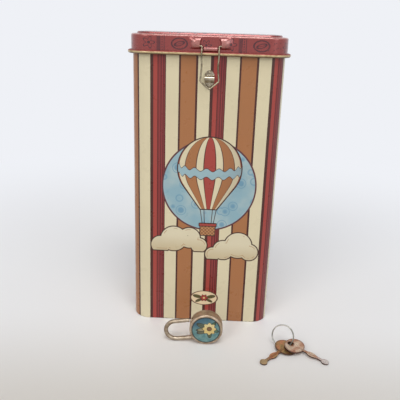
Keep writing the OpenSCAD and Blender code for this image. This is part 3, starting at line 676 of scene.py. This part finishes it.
def shape(name, bm, body, paints, nodes=(), crease=CREASE, place=Matrix(), inner=None, outward=True):
    """Turns a millimetre shape into a finished piece that rides on a body and may stand for CAD nodes."""
    ops.remove_doubles(bm, verts=bm.verts, dist=MERGE)
    if outward:
        ops.recalc_face_normals(bm, faces=bm.faces)
    if inner is not None:
        for face in bm.faces:
            face.material_index = 1 if inner(face) else 0
    piece = add_shape(name, bm, place)
    for paint in paints:
        piece.data.materials.append(paint)
    piece.data.shade_smooth()
    piece.data.set_sharp_from_angle(angle=radians(crease))
    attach(piece, body)
    if nodes:
        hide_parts(*nodes)
    return piece


def thicken(piece, thickness):
    wall = piece.modifiers.new("wall", "SOLIDIFY")
    wall.thickness = thickness * MM
    return wall


def soften(piece, width, segments=2, angle=40.0):
    edge = piece.modifiers.new("edge", "BEVEL")
    edge.width = width * MM
    edge.segments = segments
    edge.limit_method = "ANGLE"
    edge.angle_limit = radians(angle)
    edge.harden_normals = True


def face_out(bm, probe, way):
    """Makes a sheet's faces agree, so that the probe face looks this way."""
    ops.recalc_face_normals(bm, faces=bm.faces)
    if probe.normal.dot(Vector(way)) < 0:
        ops.reverse_faces(bm, faces=bm.faces)


def ends(edges):
    """The vertices of some edges, each once."""
    return list(dict.fromkeys(v for e in edges for v in e.verts))


def only(kind, geom):
    return [g for g in geom if isinstance(g, kind)]


def chain(bm, points, closed=False):
    """Joins points into a line of edges."""
    verts = [bm.verts.new(p) for p in points]
    pairs = list(zip(verts, verts[1:]))
    if closed:
        pairs.append((verts[-1], verts[0]))
    return [bm.edges.new(pair) for pair in pairs]


def circle(bm, radius, sides):
    """A ring round the Z axis: its vertices and its edges."""
    ring = ops.create_circle(bm, segments=sides, radius=radius, cap_ends=False)["verts"]
    held = set(ring)
    return ring, [e for e in bm.edges if held.issuperset(e.verts)]


def push(bm, edges, step):
    """Extrudes a line of edges by a step and gives the new line."""
    made = ops.extrude_edge_only(bm, edges=edges)["geom"]
    verts = only(BMVert, made)
    ops.translate(bm, vec=step, verts=verts)
    fresh = set(verts)
    return [e for e in only(BMEdge, made) if fresh.issuperset(e.verts)]


def push_along(bm, line, stops):
    """Extrudes a line of edges along X through a row of places."""
    for before, after in zip(stops, stops[1:]):
        line = push(bm, line, (after - before, 0, 0))
    return line


def turn(bm, edges, x, y):
    """Spins a line of edges through a quarter turn about an upright axis and gives the last line."""
    geom = edges + ends(edges)
    made = ops.spin(bm, geom=geom, cent=(x, y, 0), axis=(0, 0, 1), angle=pi / 2, steps=CORNER_STEPS)
    return only(BMEdge, made["geom_last"])


def round_the_tin(bm, profile, closed, front=(), back=()):
    """Carries a profile of (distance outside the wall, height) round the tin's rounded rectangle."""
    line = chain(bm, [(HALF_W + out, 0, z) for out, z in profile], closed)
    line = push(bm, line, (0, FLAT_Y, 0))
    line = turn(bm, line, FLAT_X, FLAT_Y)
    line = push_along(bm, line, [FLAT_X, *back, -FLAT_X])
    line = turn(bm, line, -FLAT_X, FLAT_Y)
    line = push(bm, line, (0, -2 * FLAT_Y, 0))
    line = turn(bm, line, -FLAT_X, -FLAT_Y)
    line = push_along(bm, line, [-FLAT_X, *front, FLAT_X])
    line = turn(bm, line, FLAT_X, -FLAT_Y)
    push(bm, line, (0, FLAT_Y, 0))
    ops.remove_doubles(bm, verts=bm.verts, dist=MERGE)


def arc(centre, radius, start, end, steps):
    angles = [radians(start + (end - start) * i / steps) for i in range(steps + 1)]
    return [(centre[0] + radius * cos(a), centre[1] + radius * sin(a)) for a in angles]


def lathe(bm, profile, steps=96):
    """Spins a profile of (radius, height) round the Z axis."""
    edges = chain(bm, [(r, 0, z) for r, z in profile])
    geom = edges + ends(edges)
    ops.spin(bm, geom=geom, cent=(0, 0, 0), axis=(0, 0, 1), angle=2 * pi, steps=steps, use_merge=True)
    ops.remove_doubles(bm, verts=bm.verts, dist=MERGE)


def rod(bm, path, radius, sides):
    """Carries a round section along a path, with its ends capped."""
    points = [Vector(p) for p in path]
    last = len(points) - 1
    ways = [(points[min(i + 1, last)] - points[max(i - 1, 0)]).normalized() for i in range(last + 1)]
    ring, start = circle(bm, radius, sides)
    first = Vector((0, 0, 1)).rotation_difference(ways[0]).to_matrix().to_4x4()
    ops.transform(bm, matrix=Matrix.Translation(points[0]) @ first, verts=ring)
    line = start
    for before, here, old_way, way in zip(points, points[1:], ways, ways[1:]):
        line = push(bm, line, here - before)
        swing = old_way.rotation_difference(way).to_matrix()
        ops.rotate(bm, cent=here, matrix=swing, verts=ends(line))
    ops.contextual_create(bm, geom=start)
    ops.contextual_create(bm, geom=line)


def smooth_path(points, cuts, steps):
    """A path whose corners are rounded by the given cuts."""
    points = [Vector(p) for p in points]
    path = [points[0]]
    for before, corner, after, cut in zip(points, points[1:], points[2:], cuts):
        start = corner + (before - corner).normalized() * cut
        end = corner + (after - corner).normalized() * cut
        for i in range(steps + 1):
            t = i / steps
            path.append(start * (1 - t) ** 2 + corner * 2 * t * (1 - t) + end * t ** 2)
    path.append(points[-1])
    return path


def block(bm, low, high):
    """A box between two corners."""
    low, high = Vector(low), Vector(high)
    place = Matrix.Translation((low + high) / 2) @ Matrix.Diagonal((high - low).to_4d())
    place[3][3] = 1.0
    ops.create_cube(bm, size=1.0, matrix=place)


def raise_faces(bm, faces, step):
    """Extrudes faces by a step."""
    made = ops.extrude_face_region(bm, geom=faces)["geom"]
    ops.translate(bm, vec=step, verts=only(BMVert, made))


def extrude_outline(bm, outline, step):
    """Fills a closed outline of 3-D points and extrudes it by a step."""
    edges = chain(bm, outline, True)
    raise_faces(bm, ops.contextual_create(bm, geom=edges)["faces"], step)


def carve(piece, cutter_bm, place):
    """Cuts a shape, given in millimetres, out of a finished piece for good."""
    ops.recalc_face_normals(cutter_bm, faces=cutter_bm.faces)
    cutter = add_shape("cutter", cutter_bm, place)
    cut = piece.modifiers.new("cut", "BOOLEAN")
    cut.operation = "DIFFERENCE"
    cut.solver = "EXACT"
    cut.object = cutter
    bpy.context.view_layer.update()
    whole = piece.evaluated_get(bpy.context.evaluated_depsgraph_get())
    made = bpy.data.meshes.new_from_object(whole)
    made.name = piece.name
    piece.modifiers.remove(cut)
    piece.data = made
    made.set_sharp_from_angle(angle=radians(CREASE))
    bpy.data.objects.remove(cutter)


def smooth(value, low, high):
    """Goes smoothly from 0 to 1 as the value goes from low to high."""
    part = min(max((value - low) / (high - low), 0.0), 1.0)
    return part * part * (3 - 2 * part)


def outside(face):
    """How far a face's middle lies outside the tin's wall line, in millimetres."""
    middle = face.calc_center_median()
    over_x = max(abs(middle.x) - FLAT_X, 0.0)
    over_y = max(abs(middle.y) - FLAT_Y, 0.0)
    return hypot(over_x, over_y) - CORNER


def make_body():
    """The wall, with its folded hems and its lock seam."""
    bm = bmesh.new()
    profile = [(0, 0.45), (-0.1, 0.14), (-0.4, 0), (-0.7, 0.14), (-FOLD, 0.45), (-FOLD, HEM - 0.1),
               (-0.7, HEM), (-SHEET, HEM + 0.05), (-SHEET, RIM - HEM - 0.05), (-0.7, RIM - HEM),
               (-FOLD, RIM - HEM + 0.1), (-FOLD, RIM - 0.35), (-0.68, RIM - 0.1), (-0.4, RIM),
               (-0.12, RIM - 0.1), (0, RIM - 0.35), (0, RIM - 0.6), (0, 0.7)]
    round_the_tin(bm, profile, True)
    shape("body_skin", bm, "tin", [STRIPED, INSIDE], ["body_shell"],
          inner=lambda face: outside(face) < -0.3)
    bm = bmesh.new()
    block(bm, (-32, HALF_D - 0.2, HEM), (-28, HALF_D + 0.35, RIM - 1))
    seam = shape("lock_seam", bm, "tin", [STRIPED])
    soften(seam, 0.16, 3)


def boss_rise(along, z):
    """How far the two bosses stand out of the skirt at a point: steep at the recess, fading outwards."""
    side = abs(along)
    arch = 0.9 * smooth(z, BOSS_HIGH - 3.0, BOSS_HIGH + 0.3)
    near = smooth(side + arch, BOSS_NEAR - 0.5, BOSS_NEAR + 0.55)
    far = smooth(side, BOSS_FAR - 4.2, BOSS_FAR + 1.4)
    middle = (BOSS_LOW + BOSS_HIGH) / 2
    reach = BOSS_HIGH - middle + 0.6
    up = max(1 - ((z - middle) / reach) ** 2, 0.0) ** 0.8
    return 2.0 * near * (1 - far) * up


def lip_rise(along, z):
    """The half-round lip pressed out of the skirt below the recess."""
    off = z - LIP_Z
    bulge = sqrt(max(LIP_R ** 2 - off ** 2, 0.0))
    return max(bulge * (1 - smooth(abs(along), 4.2, 4.75)) - SHEET / 2, 0.0)


def press_front(bm):
    """Presses the bosses and the lip out of the lid's front."""
    for vert in bm.verts:
        along = vert.co.x - CLASP_X
        if vert.co.y < -HALF_D and abs(along) < PRESSED_HALF - 0.1 and vert.co.z > BEAD_Z + 0.1:
            vert.co.y -= max(boss_rise(along, vert.co.z), lip_rise(along, vert.co.z))


def cut_back(bm, half, top):
    """Takes away the faces at the back within half a width and below a height."""
    middles = [(face, face.calc_center_median()) for face in bm.faces]
    gone = [face for face, at in middles if at.y > HALF_D and abs(at.x) < half and at.z < top]
    ops.delete(bm, geom=gone, context="FACES")


def stadium(bm, radius, z):
    """A ring of edges round the coin slot."""
    ring, edges = circle(bm, radius, 32)
    ops.rotate(bm, cent=(0, 0, 0), matrix=Matrix.Rotation(pi / 32, 3, "Z"), verts=ring)
    for vert in ring:
        vert.co.x += SLOT_HALF if vert.co.x > 0 else -SLOT_HALF
        vert.co.z = z
    return edges


def fill_panel(bm):
    """Closes the raised panel round the coin slot, with the slot's edge turned down."""
    rim = [e for e in bm.edges if e.is_boundary and min(v.co.z for v in e.verts) > PANEL_Z - 0.01]
    sections = [(0.6, 0.0), (0.35, 0.0), (0.1, 0.1), (0.0, 0.4), (0.0, 2.2)]
    rings = [stadium(bm, SLOT_R + out, PANEL_Z - down) for out, down in sections]
    ops.triangle_fill(bm, use_beauty=True, edges=rim + rings[0])
    for upper, lower in zip(rings, rings[1:]):
        ops.bridge_loops(bm, edges=upper + lower)


def make_lid():
    """The lid: skirt, bosses, shoulder, raised panel and coin slot, with its rolled edge."""
    bm = bmesh.new()
    skirt_top = TOP_Z - SHOULDER
    skirt = [(SKIRT, BEAD_Z + (skirt_top - BEAD_Z) * i / SKIRT_ROWS) for i in range(SKIRT_ROWS)]
    shoulder = arc((SKIRT - SHOULDER, skirt_top), SHOULDER, 0, 90, 8)
    ramp = [(-2.0, TOP_Z), (PANEL_FOOT, TOP_Z + 0.08), (PANEL_FOOT - 0.25, TOP_Z + 0.35),
            (PANEL_BROW + 0.25, PANEL_Z - 0.35), (PANEL_BROW, PANEL_Z - 0.1), (PANEL_BROW - 0.35, PANEL_Z),
            (PANEL_BROW - 0.6, PANEL_Z)]
    columns = round(2 * PRESSED_HALF / PRESSED_STEP) + 1
    front = [CLASP_X - PRESSED_HALF + PRESSED_STEP * i for i in range(columns)]
    round_the_tin(bm, skirt + shoulder + ramp, False, front, (KNUCKLE_NEAR, -KNUCKLE_NEAR))
    cut_back(bm, KNUCKLE_NEAR, HINGE.z + KNUCKLE_R + 0.3)
    press_front(bm)
    fill_panel(bm)
    face_out(bm, max(bm.faces, key=lambda face: face.calc_area()), (0, 0, 1))
    lid = shape("lid_skin", bm, "lid", [LID, INSIDE], ["lid_shell"], outward=False)
    thicken(lid, SHEET).material_offset = 1
    make_rolled_edge()
    make_lid_knuckles()


def make_rolled_edge():
    """The curl round the lid's lower edge, open at the back where the hinge sits."""
    bm = bmesh.new()
    round_the_tin(bm, arc((BEAD_MID, BEAD_Z), BEAD_R, 140, 476, 20), False)
    for side in (-1, 1):
        geom = list(bm.verts) + list(bm.edges) + list(bm.faces)
        ops.bisect_plane(bm, geom=geom, plane_co=(BEAD_END * side, 0, 0), plane_no=(1, 0, 0))
    cut_back(bm, BEAD_END, TOP_Z)
    foremost = Vector((0, -HALF_D - BEAD_MID - BEAD_R, BEAD_Z))
    front = min(bm.faces, key=lambda face: (face.calc_center_median() - foremost).length)
    face_out(bm, front, (0, -1, 0))
    edge = shape("lid_rolled_edge", bm, "lid", [GOLD], crease=50, outward=False)
    thicken(edge, 0.38)


def knuckle(bm, low, high, strap):
    """One hinge knuckle: a rolled barrel round the pin with its strap, between two places along X."""
    rings = []
    for radius in (KNUCKLE_R, KNUCKLE_R / 2):
        points = arc((HINGE.y, HINGE.z), radius, 0, 360, 28)[:-1]
        rings.append(chain(bm, [(low, y, z) for y, z in points], True))
    washer = ops.bridge_loops(bm, edges=rings[0] + rings[1])["faces"]
    raise_faces(bm, washer, (high - low, 0, 0))
    extrude_outline(bm, [(low + 0.05, y, z) for y, z in strap], (high - low - 0.1, 0, 0))


def make_lid_knuckles():
    """The two outer knuckles, which hang under the lid's skirt."""
    bm = bmesh.new()
    strap = [(33.94, 192.4), (34.26, 192.2), (34.26, 195.2), (33.94, 195.2)]
    for low, high in ((-KNUCKLE_FAR, -KNUCKLE_NEAR), (KNUCKLE_NEAR, KNUCKLE_FAR)):
        knuckle(bm, low, high, strap)
    piece = shape("lid_knuckles", bm, "lid", [LID], crease=30)
    soften(piece, 0.12, 2, 60)


def dome(bm, place, radius, height, shank, reach):
    """A rivet: a domed head, its shank and the spread tail behind."""
    ball = (radius ** 2 + height ** 2) / (2 * height)
    profile = arc((0, height - ball), ball, 90, 90 - degrees(asin(radius / ball)), 7)
    profile += [(radius - 0.05, 0), (shank, 0), (shank, -reach), (shank + 0.35, -reach),
                (shank + 0.35, -reach - 0.3), (0, -reach - 0.38)]
    before = set(bm.verts)
    lathe(bm, profile, 32)
    ops.transform(bm, matrix=place, verts=[v for v in bm.verts if v not in before])


def make_hinge():
    """The leaf riveted to the back, with the middle knuckle."""
    bm = bmesh.new()
    top, low, half, rounding = 190.5, 178.5, 14.0, 2.0
    right, high, foot = half - rounding, top - rounding, low + rounding
    outline = []
    for i, middle in enumerate([(right, high), (-right, high), (-right, foot), (right, foot)]):
        outline += [(x, HALF_D + 0.02, z) for x, z in arc(middle, rounding, 90 * i, 90 * i + 90, 6)]
    extrude_outline(bm, outline, (0, 0.58, 0))
    neck = [(33.02, 188.8), (33.6, 188.8), (33.66, 190.2), (35.3, 191.5), (34.6, 192.4), (33.1, 190.6)]
    knuckle(bm, -MIDDLE_KNUCKLE, MIDDLE_KNUCKLE, neck)
    plate = shape("hinge_plate", bm, "tin", [TIN], ["hinge_leaf"], crease=30)
    soften(plate, 0.12, 2, 60)
    bm = bmesh.new()
    for x in (-9.5, 9.5):
        dome(bm, placed((x, HALF_D + 0.6, 184.5), -pi / 2, "X"), 1.7, 0.7, 1.0, 1.02)
    shape("hinge_rivets", bm, "tin", [FITTINGS], ["hinge_leaf_rivets"])


def make_clasp():
    """The sprung wire loop that hangs over the staple."""
    over_y = -HALF_D - 3.5 - CLASP_WIRE_R - 0.85
    below_y = -HALF_D - 3.8 - CLASP_WIRE_R - 0.3
    half = [(9.4, PIVOT.y, 0), (5.4, PIVOT.y, 0), (5.5, over_y, 3.6), (5.5, over_y, 6.8),
            (5.2, below_y, 11), (5.2, below_y, 14), (6.0, below_y, 21.4)]
    point = (0, below_y, 26.5)
    cuts = [0.9, 1.4, 1.4, 1.6, 1.6, 0.9]
    mirror = [(-x, y, down) for x, y, down in reversed(half)]
    loop = [(CLASP_X + x, y, PIVOT.z - down) for x, y, down in half + [point] + mirror]
    bm = bmesh.new()
    rod(bm, smooth_path(loop, cuts + [0.9] + cuts[::-1], 8), CLASP_WIRE_R, 16)
    shape("clasp_wire", bm, "clasp", [WIRE], ["clasp_bail"], crease=50)


def make_staple():
    """A pressed strip: a bridge for the padlock between two pointed ends, riveted to the front."""
    rise, reach = 2.1, 3.8
    ends_up = [(5.45, 0.5, 0.9), (4.9, 0.5, 1.6), (2.95, 0.5, 3.1), (2.3, 0.5, 3.15), (2.12, 0.6, 3.15)]
    bridge = [(z, y, 3.15) for z, y in arc((0, reach - rise), rise, 0, 180, 20)]
    stations = ends_up + bridge + [(-z, y, w) for z, y, w in reversed(ends_up)]
    bm = bmesh.new()
    sides = [chain(bm, [(CLASP_X + side * w, -HALF_D - y, STAPLE_Z + z) for z, y, w in stations])
             for side in (-1, 1)]
    ops.bridge_loops(bm, edges=sides[0] + sides[1])
    face_out(bm, min(bm.faces, key=lambda face: face.calc_center_median().y), (0, -1, 0))
    strip = shape("staple_strip", bm, "tin", [FITTINGS], ["staple"], crease=40,
                  outward=False)
    thicken(strip, 0.48)
    soften(strip, 0.1, 2, 50)
    bm = bmesh.new()
    for up in (-4.0, 4.0):
        dome(bm, placed((CLASP_X, -HALF_D - 0.5, STAPLE_Z + up), pi / 2, "X"), 0.85, 0.4, 0.5, 0.92)
    shape("staple_rivets_heads", bm, "tin", [FITTINGS], ["staple_rivets"])


LOCK_PLACE = placed(LOCK, -pi / 2 - LOCK_TILT, "Y")
FACE_PLACE = LOCK_PLACE @ Matrix.Rotation(pi / 2, 4, "X")


def make_case():
    """The round case with its rolled bezel, its two leg holes and its keyway."""
    bezel, seat, back, bend = LOCK_R - 1.5, 3.3, -3.4, 1.1
    profile = [(10.6, back), (11.38, back), (LOCK_R, back + 0.12)]
    profile += arc((LOCK_R - bend, LOCK_HALF - bend), bend, 0, 75, 8)
    profile += [(bezel + 0.62, LOCK_HALF), (bezel + 0.35, LOCK_HALF - 0.03), (bezel + 0.1, LOCK_HALF - 0.16),
                (bezel, LOCK_HALF - 0.4), (bezel, seat), (0, seat), (0, 2.8), (10.6, 2.8), (10.6, back)]
    bm = bmesh.new()
    lathe(bm, profile)
    case = shape("lock_case_shell", bm, "padlock", [CASE], ["padlock_case"], place=FACE_PLACE)
    holes = bmesh.new()
    for x in (-LEG_X, LEG_X):
        at = Matrix.Translation((x, 0, 8.5))
        ops.create_cone(holes, cap_ends=True, segments=40, radius1=1.6, radius2=1.6, depth=9, matrix=at)
    block(holes, (-0.65, -2.1, -LOCK_R - 1), (0.65, 3.2, -LOCK_R + 2))
    carve(case, holes, LOCK_PLACE)


def make_padlock():
    """The padlock's case, back, picture, pulled-out shackle and spring."""
    make_case()
    bm = bmesh.new()
    lathe(bm, [(0, -3.4), (10.05, -3.4), (10.05, -3.0), (10.5, -3.0), (10.5, -3.4), (11.46, -3.42),
               (LOCK_R, -3.55), (LOCK_R - 0.12, -3.86), (11.0, -LOCK_HALF), (9.2, -LOCK_HALF), (8.9, -3.93),
               (0, -3.93)])
    shape("lock_back", bm, "padlock", [CASE], ["padlock_back_cover"], place=FACE_PLACE)
    radius = 9.9
    slopes = [radians(11.25 * i) for i in range(1, 9)]
    bm = bmesh.new()
    lathe(bm, [(0, 3.3), (radius, 3.3), (radius, 3.7)]
          + [(radius * cos(a), 3.75 + 0.25 * sin(a) ** 2) for a in slopes])
    shape("lock_picture_disc", bm, "padlock", [PICTURE], ["picture_disc"], place=FACE_PLACE)
    make_shackle()
    make_coil_spring()


def make_shackle():
    """The bent rod with the notch for the latch and the groove in its heel."""
    path = [(LEG_X, 0, z) for z in (10.9, 11.6, 13.6, 17.5)]
    path += [(x, 0, z) for x, z in arc((0, BEND_Z), LEG_X, 0, 180, 28)]
    path += [(-LEG_X, 0, z) for z in (17.5, 10, 2.0, 0.2)]
    bm = bmesh.new()
    rod(bm, path, LEG_R, 28)
    bow = shape("shackle_rod", bm, "shackle_bow", [SHACKLE], ["shackle"], place=LOCK_PLACE,
                crease=50)
    notch = bmesh.new()
    block(notch, (LEG_X - LEG_R - 1, -2.5, 11.85), (LEG_X - LEG_R + 0.7, 2.5, 13.35))
    groove = bmesh.new()
    lathe(groove, [(1.0, 0.9), (2.6, 0.9), (2.6, 1.6), (1.0, 1.6), (1.0, 0.9)], 32)
    carve(bow, notch, LOCK_PLACE)
    carve(bow, groove, LOCK_PLACE @ Matrix.Translation((-LEG_X, 0, 0)))


def make_coil_spring():
    """The coil under the shackle's heel, built at one length; the real one shortens as the shackle is pushed
    in.
    """
    low, high, turns, steps = -5.43, 0.03, 3.5, 24
    count = int(turns * steps)
    path = []
    for i in range(count + 1):
        angle = 2 * pi * i / steps
        up = low + (high - low) * i / count
        path.append((-LEG_X + COIL_R * cos(angle), COIL_R * sin(angle), up))
    bm = bmesh.new()
    rod(bm, path, 0.15, 10)
    coil = shape("coil_spring", bm, "padlock", [WORKS], ["shackle_spring"], place=LOCK_PLACE,
                 crease=50)
    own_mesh(coil)


def swell(along, half_length, half_width):
    """Half the width of an ellipse at a distance from its middle, and 0 past its ends."""
    return half_width * sqrt(max(1 - (along / half_length) ** 2, 0.0))


def key_half(s):
    """Half the width of a key at a distance along it from the bow's middle."""
    bow = swell(s, *KEY_BOW)
    neck = 1.0 if 0 < s < KEY_TIP_X else 0.0
    collar = swell(s - KEY_COLLAR_X, *KEY_COLLAR)
    tip = swell(s - KEY_TIP_X, KEY_TIP_R, KEY_TIP_R)
    return (bow ** 4 + neck ** 4 + collar ** 4 + tip ** 4) ** 0.25


def make_key(name, node, body, lie, finish):
    """A flat stamped key with rounded edges and a pressed rib down its middle."""
    hole, heading, slope, roll = lie
    neck_start, neck_length, neck_steps = 5.6, 15.2, 44
    stations = [-KEY_BOW[0] * cos(radians(a)) for a in range(4, 146, 5)]
    stations += [neck_start + neck_length * i / neck_steps for i in range(neck_steps + 1)]
    stations += [KEY_TIP_X + KEY_TIP_R * cos(radians(a)) for a in range(146, 0, -8)]
    bm = bmesh.new()
    upper = [(KEY_BOW_X + s, key_half(s), 0) for s in stations]
    lower = [(x, -y, 0) for x, y, _ in reversed(upper)]
    outline = chain(bm, upper + lower, True)
    _, hole_edges = circle(bm, KEY_HOLE_R, 28)
    flat = ops.triangle_fill(bm, use_beauty=True, edges=outline + hole_edges)["geom"]
    ops.translate(bm, vec=(0, 0, -KEY_HALF), verts=bm.verts)
    raise_faces(bm, only(BMFace, flat), (0, 0, 2 * KEY_HALF))
    rib = [(5.6 + 20.4 * i / 24, 0, 0.14 + 0.28 * sin(pi * i / 24) ** 0.4) for i in range(25)]
    rod(bm, rib, 0.3, 10)
    place = placed(hole, radians(heading))
    for angle, axis in ((slope, "Y"), (roll, "X")):
        place = place @ Matrix.Rotation(radians(angle), 4, axis)
    # The side faces take the second finish, the painted shade of the key's edges
    key = shape(name, bm, body, [finish, KEY_EDGE_SHADE], [node], place=place,
                inner=lambda face: abs(face.normal.z) < 0.3 and face.calc_center_median().z < 0.3)
    soften(key, 0.14, 3, 50)


def make_keys():
    """The split ring of almost two turns of wire, and the two keys on it."""
    across = Vector((cos(RING_YAW), -sin(RING_YAW), 0))
    back = Vector((sin(RING_YAW), cos(RING_YAW), 0))
    up = back * cos(RING_LEAN) + Vector((0, 0, sin(RING_LEAN)))
    normal = across.cross(up)
    start, turns, steps, lane = 128.0, 1.93, 150, 0.34
    path = []
    for i in range(steps + 1):
        part = i / steps
        angle = radians(start + 360 * turns * part)
        shift = lane * (2 * smooth(part, 0.44, 0.56) - 1)
        path.append(RING + (across * cos(angle) + up * sin(angle)) * RING_R + normal * shift)
    bm = bmesh.new()
    rod(bm, path, 0.4, 12)
    shape("split_ring_wire", bm, "ring", [RING_WIRE], ["key_ring"], crease=50)
    make_key("key_blank_left", "left_key", "key_on_the_left", LEFT_KEY, COPPER)
    make_key("key_blank_right", "right_key", "key_on_the_right", RIGHT_KEY, RUBBED)


def repaint(nodes, paint):
    """Gives CAD nodes that keep their own mesh a finish."""
    for node in nodes:
        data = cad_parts[node].data
        data.materials.clear()
        data.materials.append(paint)


# The photograph's viewpoint: angles, the place in millimetres, and the lens in the photo's pixels
CAMERA_TURNS = (18.56, -1.29, 1.83)
CAMERA_PLACE = Vector((5.0, -372.9, 209.5))
LENS_PIXELS = 514.8
PHOTO_SIDE = 400
SENSOR = 36.0


def make_camera():
    pitch, yaw, roll = (radians(a) for a in CAMERA_TURNS)
    forward = Vector((sin(yaw) * cos(pitch), cos(yaw) * cos(pitch), -sin(pitch)))
    right = Vector((cos(yaw), -sin(yaw), 0))
    up = right.cross(forward)
    tilted = right * cos(roll) + up * sin(roll)
    upright = up * cos(roll) - right * sin(roll)
    data = bpy.data.cameras.new("camera")
    data.sensor_width = SENSOR
    data.lens = LENS_PIXELS * SENSOR / PHOTO_SIDE
    data.clip_start = 0.01
    data.clip_end = 20.0
    camera = add("camera", data)
    place = Matrix((tilted, upright, -forward)).transposed().to_4x4()
    place.translation = CAMERA_PLACE * MM
    camera.matrix_world = place
    bpy.context.scene.camera = camera


def lamp(name, at, size, power, colour):
    """A round soft lamp, aimed at the middle of the tin."""
    data = bpy.data.lights.new(name, "AREA")
    data.shape = "DISK"
    data.size = size
    data.energy = power
    data.color = colour
    light = add(name, data)
    light.location = at
    light.rotation_mode = "QUATERNION"
    light.rotation_quaternion = (Vector((0, 0, 0.08)) - Vector(at)).to_track_quat("-Z", "Y")
    light.visible_camera = False


def make_floor():
    """A pale floor, with painted shade darkening it towards the camera, that runs out into the sky's colour.
    """
    bm = bmesh.new()
    ops.create_circle(bm, cap_ends=True, segments=96, radius=8.0 / MM)
    floor = add_shape("floor", bm)
    paint = Paint("pale_floor")
    x, y, _ = paint.place()
    # Painted shade: the floor darkens towards the camera
    paint.colour = paint.mix(y.rise(-170.0, -20.0), FLOOR_NEAR_SHADED, FLOOR_FAR)
    floor.data.materials.append(paint.finish(Roughness=0.45))
    glow = paint.node("Emission", {"Color": SKY, "Strength": 1.0})
    away = length(x, y + 60.0).rise(80.0, 560.0)
    blend = paint.node("MixShader", {0: paint.seen() * away, 2: glow})
    paint.tree.links.new(paint.shader.outputs[0], blend.socket.node.inputs[1])
    paint.feed(paint.tree.nodes["Material Output"].inputs["Surface"], blend)


def make_stage():
    """The floor, a pale sky and soft lamps."""
    make_floor()
    sky = Paint("pale_sky", sky=True)
    bpy.context.scene.world = sky.finish(Color=SKY, Strength=sky.seen() * (1 - SKY_LIGHT) + SKY_LIGHT)
    lamp("key_lamp", (-1.9, -2.9, 2.1), 2.2, 50.0, (1.0, 0.98, 0.95))
    lamp("fill_lamp", (2.4, -2.7, 1.4), 2.6, 29.0, (0.95, 0.97, 1.0))
    lamp("top_lamp", (0.3, -1.7, 3.6), 1.8, 52.0, (1.0, 1.0, 1.0))
    bpy.context.scene.view_settings.view_transform = "Standard"


make_camera()
make_stage()
make_body()
make_lid()
make_hinge()
make_clasp()
make_staple()
make_padlock()
make_keys()
repaint(["base_plate"], TIN)
repaint(["hinge_pin"], FITTINGS)
repaint(["lock_frame", "ward_plate", "latch_spring", "heel_clip"], WORKS)
